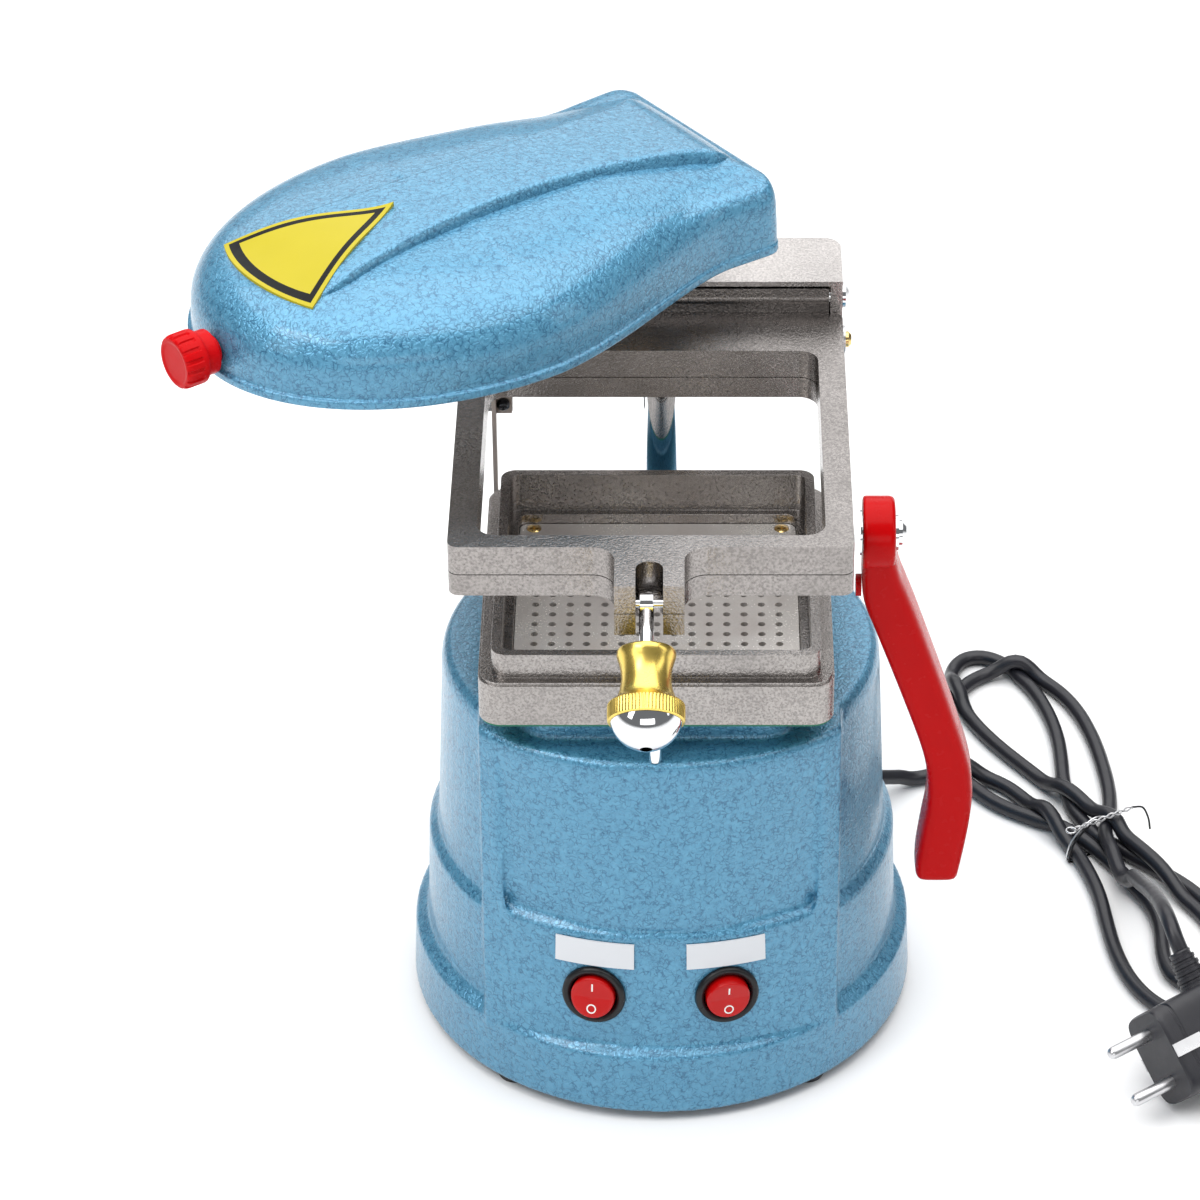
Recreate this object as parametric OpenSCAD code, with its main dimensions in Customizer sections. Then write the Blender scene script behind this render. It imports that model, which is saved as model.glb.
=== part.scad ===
// Bench vacuum former with a sliding sheet frame, a swinging heater dome,
// a cast vacuum tray and a round stepped base.
// Millimetres. Origin: centre of the standing plane under the round base,
// +Z up, the switches face -Y, the column stands at +Y.

/* [Base] */
// Radius of the base at its lower edge
base_r = 94.5; // [92:0.5:96]
// Height of the top deck of the base
deck_z = 152; // [150:1:153]
// Distance of the base centre behind the origin
base_y = 8; // [7:1:9]
// Wall thickness of the cast base
wall = 3; // [2.5:0.5:3.5]
// Half width of the front panel block
panel_hw = 65; // [62:1:66]
// Height of the rubber feet
foot_h = 4; // [3:0.5:5]

/* [Tray] */
// Outer width of the tray rim
rim_w = 116; // [112:1:116]
// Outer depth of the tray rim
rim_d = 121; // [116:1:121]
// Height of the rim top above the table
rim_z = 191.5; // [188:0.5:192]
// Spacing of the holes in the perforated plate
hole_pitch = 6.3; // [6:0.1:7]
// Diameter of the holes in the perforated plate
hole_d = 2.7; // [2:0.1:2.9]

/* [Frames] */
// Outer width of both sheet frames
frame_w = 140; // [138:1:141]
// Width of the square opening
open_w = 120.5; // [120:0.1:121]
// Thickness of the upper frame
upper_t = 11.2; // [10:0.1:11.2]
// Thickness of the lower frame
lower_t = 8.4; // [8:0.1:8.4]
// Height of the top of the upper frame when raised
frame_z = 242.3; // [242:0.1:243]

/* [Column] */
// Diameter of the chrome column
col_d = 22; // [20:1:22]
// Distance of the column behind the origin
col_y = 105; // [104:0.5:106]

/* [Heater] */
// Heading of the heater, degrees to the left of straight ahead
heat_a = 53; // [50:0.5:56]
// Height of the lower edge of the heater cover
heat_z = 276.5; // [275:0.5:278]
// Greatest half width of the heater dome
heat_hw = 73; // [71:1:75]
// Distance from the column to the tip of the dome
heat_tip = 195; // [193:1:196]

/* [Cord] */
// Diameter of the power cord
cord_d = 6; // [5.5:0.5:6.5]

/* [Hidden] */
$fn = 48;

e = 0.01;
fx = -2.8;                       // the frames sit a little left of the column
up_z0 = frame_z - upper_t;       // underside of the upper frame
lo_z1 = up_z0 - 0.3;             // top of the lower frame
lo_z0 = lo_z1 - lower_t;
fy0 = -70; fy1 = 88;             // frame front and rear edges
oy0 = -62.3; oy1 = 60.7;         // opening front and rear edges
fl_z0 = 164.3; fl_z1 = 181.8;    // tray flange
tx = -1.2; ty = -1;              // tray centre
tab_x = fx - 0.4;                // slot centre in the front tab
piv_y = -84.2; piv_z = 228.8; slot_y = -83.3;      // swing bolt pivot
sw_x = 24; sw_z = 52;            // switch centres
hing_y = 92; hing_z = 247.5;     // upper frame hinge
lev_y = -37; lev_z = 226.8;      // lever pivot

// ---------- helpers ----------
module rrect(w, d, r) {
  square([w - 2*r, d], center = true);
  square([w, d - 2*r], center = true);
  for (x = [-1, 1], y = [-1, 1]) translate([x*(w/2 - r), y*(d/2 - r)]) circle(r);
}
module slab(w, d, r, z0, z1) { translate([0, 0, z0]) linear_extrude(z1 - z0) rrect(w, d, r); }
module ring_y(y) { translate([0, y, 0]) rotate_extrude($fn = 96) children(); }
module on_x(x, y, z) { translate([x, y, z]) rotate([0, 90, 0]) children(); }
module pan_screw(rh, hh, rs, ls) {
  // head sits at z 0..hh, shank goes down
  difference() {
    union() {
      cylinder(r = rh, h = hh*0.5);
      translate([0, 0, hh*0.5 - e]) cylinder(r1 = rh, r2 = rh*0.62, h = hh*0.5 + e);
      translate([0, 0, -ls]) cylinder(r = rs, h = ls + e);
    }
    for (a = [0, 90]) rotate(a) translate([-rh*0.6, -rh*0.11, hh*0.45]) cube([rh*1.2, rh*0.22, hh]);
  }
}

// ---------- base ----------
function body_pts(o) = [[0, foot_h], [base_r - o, foot_h], [base_r - 1 - o, 28], [base_r - 6 - o, 31.5],
  [base_r - 7.3 - o, 71], [base_r - 11 - o, 74.5], [80.4 - o, deck_z - 5], [79.3 - o, deck_z - 1.9], [77 - o, deck_z], [0, deck_z]];
module panel_solid(o) {
  // front block: part of a larger cone, cut to the width of the panel
  intersection() {
    ring_y(30) polygon([[0, foot_h + 20], [111.2 - o, foot_h + 20], [110.5 - o, 31.5], [107 - o, 77], [103.2 - o, 80],
      [103.9 - o, deck_z - 5], [103.3 - o, deck_z - 1.6], [101.5 - o, deck_z], [0, deck_z]]);
    translate([-panel_hw + o, -100, 0]) cube([2*(panel_hw - o), 90, 200]);
  }
}
module pilaster(o) {
  // the two upright bands beside the sunk field
  intersection() {
    ring_y(30) polygon([[80, 76], [107.1 - o, 76], [104 - o, deck_z - 6], [80, deck_z - 6]]);
    for (s = [0, 1]) mirror([s, 0, 0]) linear_extrude(200) polygon([[31.5, -100], [panel_hw - o, -100], [panel_hw - o, -45.6]]);
  }
}
module lobe(o, z0, z1) {
  translate([0, col_y - 2, z0]) cylinder(r1 = 31 - o, r2 = 26 - o, h = z1 - z0, $fn = 64);
  translate([0, 0, z0]) linear_extrude(z1 - z0)
    polygon([[-46 + o, 40], [46 - o, 40], [26 - o, col_y - 2], [-26 + o, col_y - 2]]);
}
module boss_at() { for (a = [0, 90, 180, 270]) translate([85.5*sin(a + 15), base_y + 85.5*cos(a + 15), 0]) children(); }
module foot_at() { for (x = [-54, 54], y = [-66, 66]) translate([x, base_y + y, 0]) children(); }
module sw_place(s) { translate([0, 30, 0]) rotate([0, 0, s*12.8]) translate([0, -108.95, sw_z]) rotate([90 - 4.4, 0, 0]) children(); }
module base_housing() color([0.27, 0.56, 0.72]) difference() {
  union() {
    difference() {
      ring_y(base_y) polygon(body_pts(0));
      // the round body stays behind the front block above the foot ring
      intersection() {
        translate([0.4 - panel_hw, -100, 31.5]) cube([2*panel_hw - 0.8, 60, 49]);
        ring_y(30) polygon([[109.3, 31], [130, 31], [130, 82], [101, 82], [105.8, 77]]);
      }
    }
    panel_solid(0);
    pilaster(0);
    lobe(0, foot_h, deck_z - 6);
    translate([tx, ty, 0]) slab(rim_w - 18, rim_d - 9, 12, deck_z - 4, fl_z0 - 1);
  }
  difference() {
    union() {
      ring_y(base_y) polygon([[0, 0], [base_r - wall, 0], [base_r - 1 - wall, 27], [base_r - 7 - wall, 30.5],
        [base_r - 9.3 - wall, 69.5], [base_r - 12 - wall, 73], [80.4 - wall, deck_z - 7], [75 - wall, deck_z - wall - 1], [0, deck_z - wall - 1]]);
      intersection() {
        ring_y(30) polygon([[0, foot_h + 24], [107 - wall, foot_h + 24], [103 - wall, 74], [100.5 - wall, 84], [100.5 - wall, deck_z - 8], [0, deck_z - 8]]);
        translate([-panel_hw + wall, -100, 0]) cube([2*(panel_hw - wall), 90, 200]);
      }
      lobe(wall, 24, 96);
    }
    // bosses for the cover screws, inside the wall
    boss_at() translate([0, 0, foot_h + 2]) cylinder(r = 6, h = 26);
  }
  boss_at() translate([0, 0, foot_h + 1]) cylinder(r = 1.95, h = 18);
  translate([0, col_y, 110]) cylinder(r = col_d/2 + 0.02, h = 60);
  translate([0, col_y, 80]) cylinder(r = 6.03, h = 40);
  translate([tx, ty, deck_z - 12]) cylinder(r = 14.05, h = 30);
  for (s = [-1, 1]) sw_place(s) translate([0, 0, -12]) cylinder(r = 10.05, h = 30);
  translate([tab_x + 1.6, -69, deck_z - 12]) cylinder(r = 1.52, h = 30);
  gland_place() translate([0, 0, -12]) cylinder(r = 6.02, h = 30);
}
module gland_place() { translate([0, base_y, 0]) rotate([0, 0, -39]) translate([0, base_r - 1.2, 17]) rotate([-92, 0, 0]) children(); }
module bottom_cover() color([0.32, 0.33, 0.35]) difference() {
  ring_y(base_y) polygon([[0, foot_h], [base_r - wall - 0.3, foot_h], [base_r - wall - 0.3, foot_h + 1.8], [0, foot_h + 1.8]]);
  boss_at() translate([0, 0, foot_h - 1]) cylinder(r = 2.2, h = 5);
  foot_at() translate([0, 0, foot_h - 1]) cylinder(r = 2.2, h = 5);
  // exhaust slots under the motor
  for (a = [0:30:330]) rotate(a) translate([38, -2, foot_h - 1]) cube([16, 4, 5]);
}
module cover_screws() color([0.75, 0.75, 0.77]) boss_at() translate([0, 0, foot_h - 0.02]) mirror([0, 0, 1]) pan_screw(3.6, 2, 1.9, 12);
module rubber_feet() color([0.06, 0.06, 0.06]) foot_at() difference() {
  union() { cylinder(r1 = 6.4, r2 = 7.4, h = 2); translate([0, 0, 2 - e]) cylinder(r = 7.4, h = foot_h - 2 + e); }
  translate([0, 0, -1]) cylinder(r = 4, h = 3);
  cylinder(r = 2.2, h = 6);
}
module foot_screws() color([0.75, 0.75, 0.77]) foot_at() translate([0, 0, 1.98]) mirror([0, 0, 1]) pan_screw(3.6, 1.6, 1.9, 9);
module foot_nuts() color([0.75, 0.75, 0.77]) foot_at() translate([0, 0, foot_h + 1.8]) difference() {
  cylinder(r = 4, h = 3, $fn = 6);
  translate([0, 0, -1]) cylinder(r = 1.95, h = 6);
}

// ---------- vacuum side, inside the base ----------
module suction_pipe() color([0.12, 0.12, 0.13]) translate([tx, ty, 0]) difference() {
  union() { translate([0, 0, 128]) cylinder(r = 14, h = fl_z0 - 128 - 0.1); translate([0, 0, 120.2]) cylinder(r = 17, h = 8.5); }
  translate([0, 0, 100]) cylinder(r = 11.5, h = 80);
}
module impeller_housing() color([0.6, 0.61, 0.63]) translate([tx, ty, 0]) difference() {
  union() { translate([0, 0, 88]) cylinder(r = 58, h = 30); translate([0, 0, 117.9]) cylinder(r = 20, h = 2.3); }
  translate([0, 0, 91]) cylinder(r = 55.5, h = 24.5);
  translate([0, 0, 80]) cylinder(r = 9, h = 20);
  translate([0, 0, 100]) cylinder(r = 12, h = 30);
  for (a = [15:30:345]) rotate(a) translate([52, -5, 98]) cube([10, 10, 10]);
}
module impeller() color([0.7, 0.71, 0.73]) translate([tx, ty, 0]) difference() {
  union() {
    translate([0, 0, 93]) cylinder(r = 52, h = 1.5);
    translate([0, 0, 93]) cylinder(r = 8, h = 12);
    for (a = [0:45:315]) rotate(a) translate([14, -0.8, 94]) cube([37, 1.6, 14]);
  }
  translate([0, 0, 90]) cylinder(r = 4, h = 20);
}
module motor_shaft() color([0.78, 0.78, 0.8]) translate([tx, ty, 0]) { translate([0, 0, 34]) cylinder(r = 3.95, h = 70.8); translate([0, 0, 42]) cylinder(r = 26, h = 36); }
module motor_can() color([0.45, 0.46, 0.48]) translate([tx, ty, 0]) difference() {
  translate([0, 0, 30]) cylinder(r = 38, h = 54.8);
  translate([0, 0, 38]) cylinder(r = 34, h = 43);
  translate([0, 0, 20]) cylinder(r = 4.03, h = 80);
}
module motor_bracket() color([0.3, 0.31, 0.33]) translate([tx, ty, 0]) difference() {
  union() {
    translate([0, 0, 84.9]) cylinder(r = 60, h = 3);
    for (a = [45:90:315]) rotate(a) translate([53, 0, foot_h + 1.9]) cylinder(r = 4, h = 84.9 - foot_h - 1.8);
  }
  translate([0, 0, 70]) cylinder(r = 9, h = 30);
}
module terminal_block() color([0.88, 0.87, 0.82]) translate([0, 62, foot_h + 1.9]) difference() {
  translate([-16, -7, 0]) cube([32, 14, 12]);
  for (i = [-1, 0, 1]) translate([i*10, 0, 6]) cylinder(r = 2.4, h = 10);
}
module column() color([0.86, 0.87, 0.88]) translate([0, col_y, 0]) union() {
  translate([0, 0, 110.05]) cylinder(r = col_d/2, h = cz - 110.05);
  translate([0, 0, 86]) cylinder(r = 6, h = 25);
  translate([0, 0, cz - e]) cylinder(r = 7, h = 23 + e);
}
module column_nut() color([0.75, 0.75, 0.77]) translate([0, col_y, 87.9]) difference() {
  cylinder(r = 10.4, h = 8, $fn = 6);
  translate([0, 0, -1]) cylinder(r = 6.03, h = 12);
}
module front_rest_stud() color([0.85, 0.86, 0.87]) translate([tab_x + 1.6, -69, 0]) {
  translate([0, 0, deck_z]) cylinder(r = 2.6, h = 182.1 - deck_z);
  translate([0, 0, deck_z - 8]) cylinder(r = 1.5, h = 8.1);
}

// ---------- tray ----------
module vacuum_tray() color([0.78, 0.76, 0.73]) translate([tx, ty, 0]) difference() {
  union() {
    slab(rim_w + 9.6, rim_d + 8, 8, fl_z0, fl_z1 - 1);
    slab(rim_w + 8, rim_d + 6.4, 7.2, fl_z1 - 1 - e, fl_z1);
    slab(rim_w, rim_d, 5.5, fl_z1 - e, rim_z);
  }
  slab(rim_w - 7, rim_d - 7, 3.5, 176, rim_z + 1);
  slab(rim_w - 13, rim_d - 13, 4, 170, 177);
  slab(rim_w - 26, rim_d - 26, 4, 167, 171);
  translate([0, 0, 160]) cylinder(r = 11.5, h = 10);
  for (x = [-46, 46]) translate([x, 50.6, 165]) cylinder(r = 1.45, h = 10);
}
module tray_gasket() color([0.05, 0.42, 0.32]) translate([tx, ty, 0]) difference() {
  slab(rim_w + 8.4, rim_d + 6.8, 7.4, fl_z0 - 1, fl_z0);
  translate([0, 0, 150]) cylinder(r = 14.2, h = 20);
}
module perforated_plate() color([0.62, 0.6, 0.57]) translate([tx, ty, 0]) difference() {
  slab(rim_w - 13.6, rim_d - 13.6, 3.6, 170, 172);
  for (i = [-7:7], j = [-7:7]) translate([i*hole_pitch, j*hole_pitch, 169]) cylinder(r = hole_d/2, h = 4, $fn = 16);
  for (x = [-46, 46]) translate([x, 50.6, 169]) { cylinder(r = 1.6, h = 5); translate([0, 0, 1.38]) cylinder(r = 2.8, h = 4); }
}
module plate_screws() color([0.8, 0.62, 0.3]) for (x = [-46, 46]) translate([tx + x, ty + 50.6, 170.4]) pan_screw(2.7, 1.55, 1.42, 3.4);

// ---------- switches ----------
module switch_bezel() color([0.05, 0.05, 0.05]) difference() {
  union() {
    translate([0, 0, 0.05]) cylinder(r = 11.8, h = 1.2);
    translate([0, 0, 1.24]) cylinder(r1 = 11.8, r2 = 10.6, h = 1.2);
    translate([0, 0, -22]) cylinder(r = 10, h = 22.1);
    for (x = [-4, 4]) translate([x - 2.4, -0.4, -30]) cube([4.8, 0.8, 9]);
  }
  translate([0, 0, -7]) cylinder(r = 8.7, h = 12);
}
module switch_bezel_left() { sw_place(-1) switch_bezel(); }
module switch_bezel_right() { sw_place(1) switch_bezel(); }
module rocker_shape() {
  // rocker seen along the switch axis; it tips about the level line through its middle
  rotate([0, 90, 0]) cylinder(r = 1.2, h = 17.1, center = true);
  intersection() {
    translate([0, 0, -3]) cylinder(r = 8.1, h = 10);
    union() {
      rotate([7, 0, 0]) translate([-10, -e, -3]) cube([20, 9, 6.3]);
      rotate([-7, 0, 0]) translate([-10, -9 + e, -3]) cube([20, 9, 6.3]);
    }
  }
}
module rocker_left() color([0.85, 0.05, 0.05]) sw_place(-1) rotate([-7, 0, 0]) rocker_shape();
module rocker_right() color([0.85, 0.05, 0.05]) sw_place(1) rotate([7, 0, 0]) rocker_shape();
module label_at(s) intersection() {
  ring_y(30) polygon([[108.02, 64.5], [108.3, 64.5], [107.5, 75.2], [107.22, 75.2]]);
  translate([0, 30, 0]) rotate([0, 0, s*12.8]) translate([-14.8, -120, 60]) cube([29.6, 40, 20]);
}
module label_left() color([0.95, 0.95, 0.95]) label_at(-1);
module label_right() color([0.95, 0.95, 0.95]) label_at(1);

// ---------- carriage ----------
module slide_block() color([0.8, 0.79, 0.78]) difference() {
  union() {
    // crossbar behind the frames, with cheeks and a top plate
    translate([fx - frame_w/2, 88.02, 212.4]) cube([frame_w, 26, 43.1]);
    translate([fx - frame_w/2 + 7, 114, 212.4]) cube([frame_w - 14, 7, 43.1]);
    for (s = [-1, 1]) translate([fx + s*(frame_w/2 - 7), 114, 212.4]) cylinder(r = 7, h = 43.1);
    translate([0, col_y, 212.4]) cylinder(r = 19.5, h = 43.1);
  }
  translate([-30, 70, 200]) cube([60, 18.02, 60]);
  // recess for the hinge of the upper frame
  translate([fx - frame_w/2 + 4.5, 80, 238]) cube([frame_w - 9, 17.2, 15.5]);
  translate([fx - 80, 80, lo_z1]) cube([160, 9.2, 10]);
  // open underside behind the crossbar, either side of the column boss
  for (x = [-56, 24.5]) translate([fx + x, 97, 200]) cube([31.5, 18.5, 46]);
  translate([0, col_y, 150]) cylinder(r = 13.52, h = 120);
  for (s = [-1, 1]) on_x(fx + s*frame_w/2, hing_y, hing_z) translate([0, 0, -8]) cylinder(r = 3.02, h = 16);
  on_x(fx + frame_w/2 - 9, 96, 226.1) cylinder(r = 1.72, h = 20);
  for (s = [-1, 1]) translate([fx + s*62, 80, 217.4]) rotate([-90, 0, 0]) { cylinder(r = 2.52, h = 60); translate([0, 0, 36.5]) cylinder(r = 4.4, h = 20); }
}
module frame_screws() color([0.2, 0.2, 0.21]) for (s = [-1, 1]) translate([fx + s*62, 116.52, 217.4]) rotate([90, 0, 0]) difference() {
  union() { translate([0, 0, -4.2]) cylinder(r = 4.2, h = 4.2); translate([0, 0, -0.1]) cylinder(r = 2.48, h = 35); }
  translate([0, 0, -5]) cylinder(r = 2.3, h = 3, $fn = 6);
}
module slide_bush() color([0.72, 0.55, 0.3]) translate([0, col_y, 0]) difference() {
  translate([0, 0, 212.4]) cylinder(r = 13.5, h = 43.1);
  translate([0, 0, 190]) cylinder(r = col_d/2 + 0.05, h = 80);
}
module frame_plate(z0, z1) {
  translate([fx, (fy0 + fy1)/2, 0]) slab(frame_w, fy1 - fy0, 4, z0, z1);
}
module frame_open(z0, z1) { translate([fx, (oy0 + oy1)/2, 0]) slab(open_w, oy1 - oy0, 7, z0 - 1, z1 + 1); }
module tab(z0, z1, len) {
  // flared front tab, concave fillets where it meets the bar
  translate([tab_x, fy0, z0]) linear_extrude(z1 - z0) difference() {
    union() { translate([-12, -len]) square([24, len + 4]); translate([-20, -8]) square([40, 8 + e]); }
    translate([-20, -8]) circle(8);
    translate([20, -8]) circle(8);
    translate([0, slot_y - fy0]) circle(4.7);
    translate([-4.7, -len - 1]) square([9.4, len + 1 + slot_y - fy0]);
  }
}
module lower_frame() color([0.8, 0.79, 0.77]) difference() {
  union() {
    frame_plate(lo_z0, lo_z1);
    tab(lo_z0, lo_z1, 24);
    translate([fx - frame_w/2, 79.9, lo_z0 - 10]) cube([frame_w, 8.1, 10 + e]);
    translate([fx - 63.2, 79.9, lo_z0 - 18]) cube([10.6, 8.1, 9]);
  }
  for (s = [-1, 1]) translate([fx + s*62, 71, 217.4]) rotate([-90, 0, 0]) cylinder(r = 2.52, h = 30);
  frame_open(lo_z0 - 20, lo_z1);
  on_x(tab_x - 20, piv_y, piv_z) cylinder(r = 1.52, h = 40);
  on_x(fx + frame_w/2 - 9.4, lev_y, lev_z) cylinder(r = 3.02, h = 20);
  translate([fx - 56, 78, lo_z0 - 13.6]) rotate([-90, 0, 0]) cylinder(r = 1.52, h = 8);
}
module upper_frame() color([0.82, 0.81, 0.79]) difference() {
  union() {
    frame_plate(up_z0, frame_z);
    tab(up_z0, frame_z, 24);
    // hinge barrel inside the recess of the slide block, and its web
    on_x(fx - frame_w/2 + 5, hing_y, hing_z) cylinder(r = 4.2, h = frame_w - 10);
    translate([fx - frame_w/2 + 5, 0, 0]) rotate([90, 0, 90]) linear_extrude(frame_w - 10)
      polygon([[82, 242], [88.1, 242.1], [88.1, 252.4], [92, 252.4], [95.5, 250], [96, 246], [94, 243.9], [87.98, 239.5], [82, 239.5]]);
  }
  frame_open(up_z0, frame_z);
  // clear of the column and its bush
  translate([-15, 89.9, 236]) cube([30, 12, 20]);
  for (s = [-1, 1]) on_x(fx + s*frame_w/2, hing_y, hing_z) translate([0, 0, -18]) cylinder(r = 3.02, h = 36);
}
module hinge_screws() color([0.8, 0.8, 0.82]) for (s = [-1, 1]) translate([fx + s*(frame_w/2 + 0.02), hing_y, hing_z])
  rotate([0, s*90, 0]) pan_screw(4.7, 2.3, 2.95, 16);
module side_washer() color([0.75, 0.75, 0.77]) on_x(fx + frame_w/2 + 0.02, 96, 226.1) difference() {
  cylinder(r = 5.2, h = 1.6);
  translate([0, 0, -1]) cylinder(r = 1.75, h = 6);
}
module side_screw() color([0.78, 0.65, 0.35]) on_x(fx + frame_w/2 + 1.66, 96, 226.1) {
  pan_screw(3, 2.2, 1.4, 0.1);
  translate([0, 0, -9]) cylinder(r = 1.68, h = 9.1);
}
module guide_strip() color([0.5, 0.45, 0.42]) difference() {
  union() {
    translate([fx - 60.2, 74.3, 160]) cube([1.6, 5.56, lo_z0 - 160 - 0.05]);
    translate([fx - 60.2, 78.26, lo_z0 - 17.8]) cube([7.4, 1.6, 17.7]);
  }
  translate([fx - 56, 70, lo_z0 - 13.6]) rotate([-90, 0, 0]) cylinder(r = 1.6, h = 14);
}
module guide_screw() color([0.12, 0.12, 0.12]) translate([fx - 56, 78.24, lo_z0 - 13.6]) rotate([90, 0, 0]) pan_screw(2.4, 2.4, 1.5, 7);

// ---------- lever ----------
lx0 = fx + frame_w/2;            // outer side of the lower frame
module lever_stud() color([0.84, 0.84, 0.86]) on_x(lx0, lev_y, lev_z) {
  translate([0, 0, -9.3]) cylinder(r = 2.98, h = 9.4);
  difference() { translate([0, 0, 0.02]) cylinder(r = 7.3, h = 2.9, $fn = 6); translate([0, 0, -1]) cylinder(r = 2.5, h = 0.5); }
  translate([0, 0, 2.9]) cylinder(r = 8.0, h = 0.65);
  translate([0, 0, 3.5]) cylinder(r = 4, h = 11.9);
}
module lever() color([0.78, 0.02, 0.04]) difference() {
  union() {
    // boss
    on_x(lx0 + 3.9, lev_y, lev_z) cylinder(r = 13, h = 11.3);
    // cranked arm, drawn in the XZ plane and cut to its width in Y
    intersection() {
      translate([lx0, lev_y + 12, lev_z]) rotate([90, 0, 0]) linear_extrude(24)
        polygon([[3.9, 4], [3.9, -21], [8.8, -36.8], [17.9, -62.2], [26.2, -86.9], [29, -100], [29.4, -113], [27.8, -125], [26.2, -137.5], [26.1, -144], [27.9, -146.4],
          [40.4, -146.7], [41.8, -145], [42.8, -137.5], [44.8, -124], [45.8, -112], [45.5, -103.6], [43.7, -93], [39.5, -80], [35.2, -65.7], [24.8, -34.5], [15.2, -8.4], [15.2, 4]]);
      on_x(lx0, lev_y, lev_z) linear_extrude(60) polygon([[-8, -11], [8, -11], [60, -9.5], [138, -10.3], [148, -8.5], [148, 8.5], [138, 10.3], [60, 9.5], [8, 11], [-8, 11]]);
    }
  }
  on_x(lx0 + 2, lev_y, lev_z) cylinder(r = 4.03, h = 30);
}
module lever_screw() color([0.84, 0.84, 0.86]) on_x(lx0 + 15.45, lev_y, lev_z) {
  cylinder(r = 6.2, h = 1);
  translate([0, 0, 0.98]) pan_screw(4.4, 2.8, 1.9, 0.5);
}
module lever_peg() color([0.8, 0.02, 0.04]) on_x(lx0 + 1.9, lev_y, lev_z - 22) difference() { cylinder(r = 4, h = 1.97); translate([0, 0, -1]) cylinder(r = 0.5, h = 1.5); }

// ---------- swing bolt ----------
// the bolt hangs forward and down from the pin in the front tab
module bolt_frame() { translate([tab_x - 1, piv_y, piv_z]) rotate([180 - 56, 0, 0]) children(); }
module bolt_pin() color([0.8, 0.8, 0.82]) on_x(tab_x - 11.5, piv_y, piv_z) cylinder(r = 1.5, h = 23);
module swing_bolt() color([0.84, 0.85, 0.87]) bolt_frame() difference() {
  union() {
    translate([0, 0, 2.4]) cylinder(r = 2.65, h = 38);
    rotate([0, 90, 0]) translate([0, 0, -2.2]) cylinder(r = 4, h = 4.4);
  }
  rotate([0, 90, 0]) translate([0, 0, -6]) cylinder(r = 1.55, h = 12);
}
k0 = 17.4;  // top of the grip along the bolt
module clamp_ball() color([0.88, 0.89, 0.9]) bolt_frame() difference() {
  intersection() { translate([0, 0, k0 + 23.4]) sphere(12.6, $fn = 64); translate([0, 0, k0 + 26.4]) cylinder(r = 13, h = 30); }
  cylinder(r = 2.72, h = k0 + 27.5);
  translate([0, 0, 30]) cylinder(r = 2.1, h = 40);
}
module clamp_grip() color([0.85, 0.66, 0.16]) bolt_frame() difference() {
  translate([0, 0, k0]) rotate_extrude($fn = 64) polygon([[0, 0], [9.6, 0], [10.2, 0.8], [10.2, 2.4], [9.6, 4], [8.9, 7], [8.6, 10], [8.7, 12.4], [9.1, 14.8], [9.9, 17],
    [10.9, 18.6], [12.6, 19.6], [13.1, 20], [13.3, 20.5], [13.3, 25.6], [13, 26.1], [12.6, 26.3], [0, 26.3]]);
  cylinder(r = 2.72, h = 90);
}

// ---------- heater ----------
// heater drawn along +X from the column, then turned to its heading
hdir = 270 - heat_a;
module heat_place() { translate([0, col_y, 0]) rotate([0, 0, hdir]) children(); }
hc = 98; // widest station of the dome
cz = heat_z - 3; // shoulder of the column under the heater
// outline of the dome and rear lobe as a function of the station, half width
function sm(u) = let (v = min(1, max(0, u))) v*v*(3 - 2*v);
function cen(s) = 0*s; // the dome is even about its axis
function lobe_w(s, o) = (51 - 0.05*s - 0.5*o)*(s < -8 ? 0.65 + 0.35*sqrt(max(0, 1 - pow((-8 - s)/(12 - 0.3*o), 4))) : 1);
function smx(a, b, k) = let (h = max(k - abs(a - b), 0)/k) max(a, b) + h*h*k/4;
function hw(s, o) = s > hc ? (heat_hw - o)*sqrt(max(0, 1 - pow((s - hc)/(heat_tip - hc - o), 2)))
  : s > 7 ? smx(lobe_w(s, o), heat_hw*sqrt(max(0, 1 - pow((hc - s)/104, 1.55))) - o, 22) : lobe_w(s, o);
function stations(o, n) = let (a0 = -20 + 0.2*o, a1 = heat_tip - o) [for (i = [0:n]) a0 + (a1 - a0)*(1 - cos(180*i/n))/2];
function outline(o, n) = let (s = stations(o, n)) concat([for (i = [0:n]) [s[i], cen(s[i]) + (i == 0 ? 0 : hw(s[i], o))]],
  [for (i = [n - 1:-1:1]) [s[i], cen(s[i]) - hw(s[i], o)]]);
function zf(s) = 0.82 + 0.18*sm((s + 10)/60); // the rear lobe is a little lower
module skin(pts, m, k) {
  polyhedron(pts, concat([[for (i = [m - 1:-1:0]) i]], [[for (i = [0:m - 1]) (k - 1)*m + i]],
    [for (j = [0:k - 2], i = [0:m - 1]) [j*m + i, j*m + (i + 1)%m, (j + 1)*m + (i + 1)%m]],
    [for (j = [0:k - 2], i = [0:m - 1]) [j*m + i, (j + 1)*m + (i + 1)%m, (j + 1)*m + i]]));
}
module shell(lv, z1, n) {
  // stacked outlines joined into one skin; lv holds [inset, height]
  skin([for (l = lv) for (p = outline(l[0], n)) [p[0], p[1], z1 + (l[1] > 4 ? 4 + (l[1] - 4)*zf(p[0]) : l[1])]], 2*n, len(lv));
}
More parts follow.
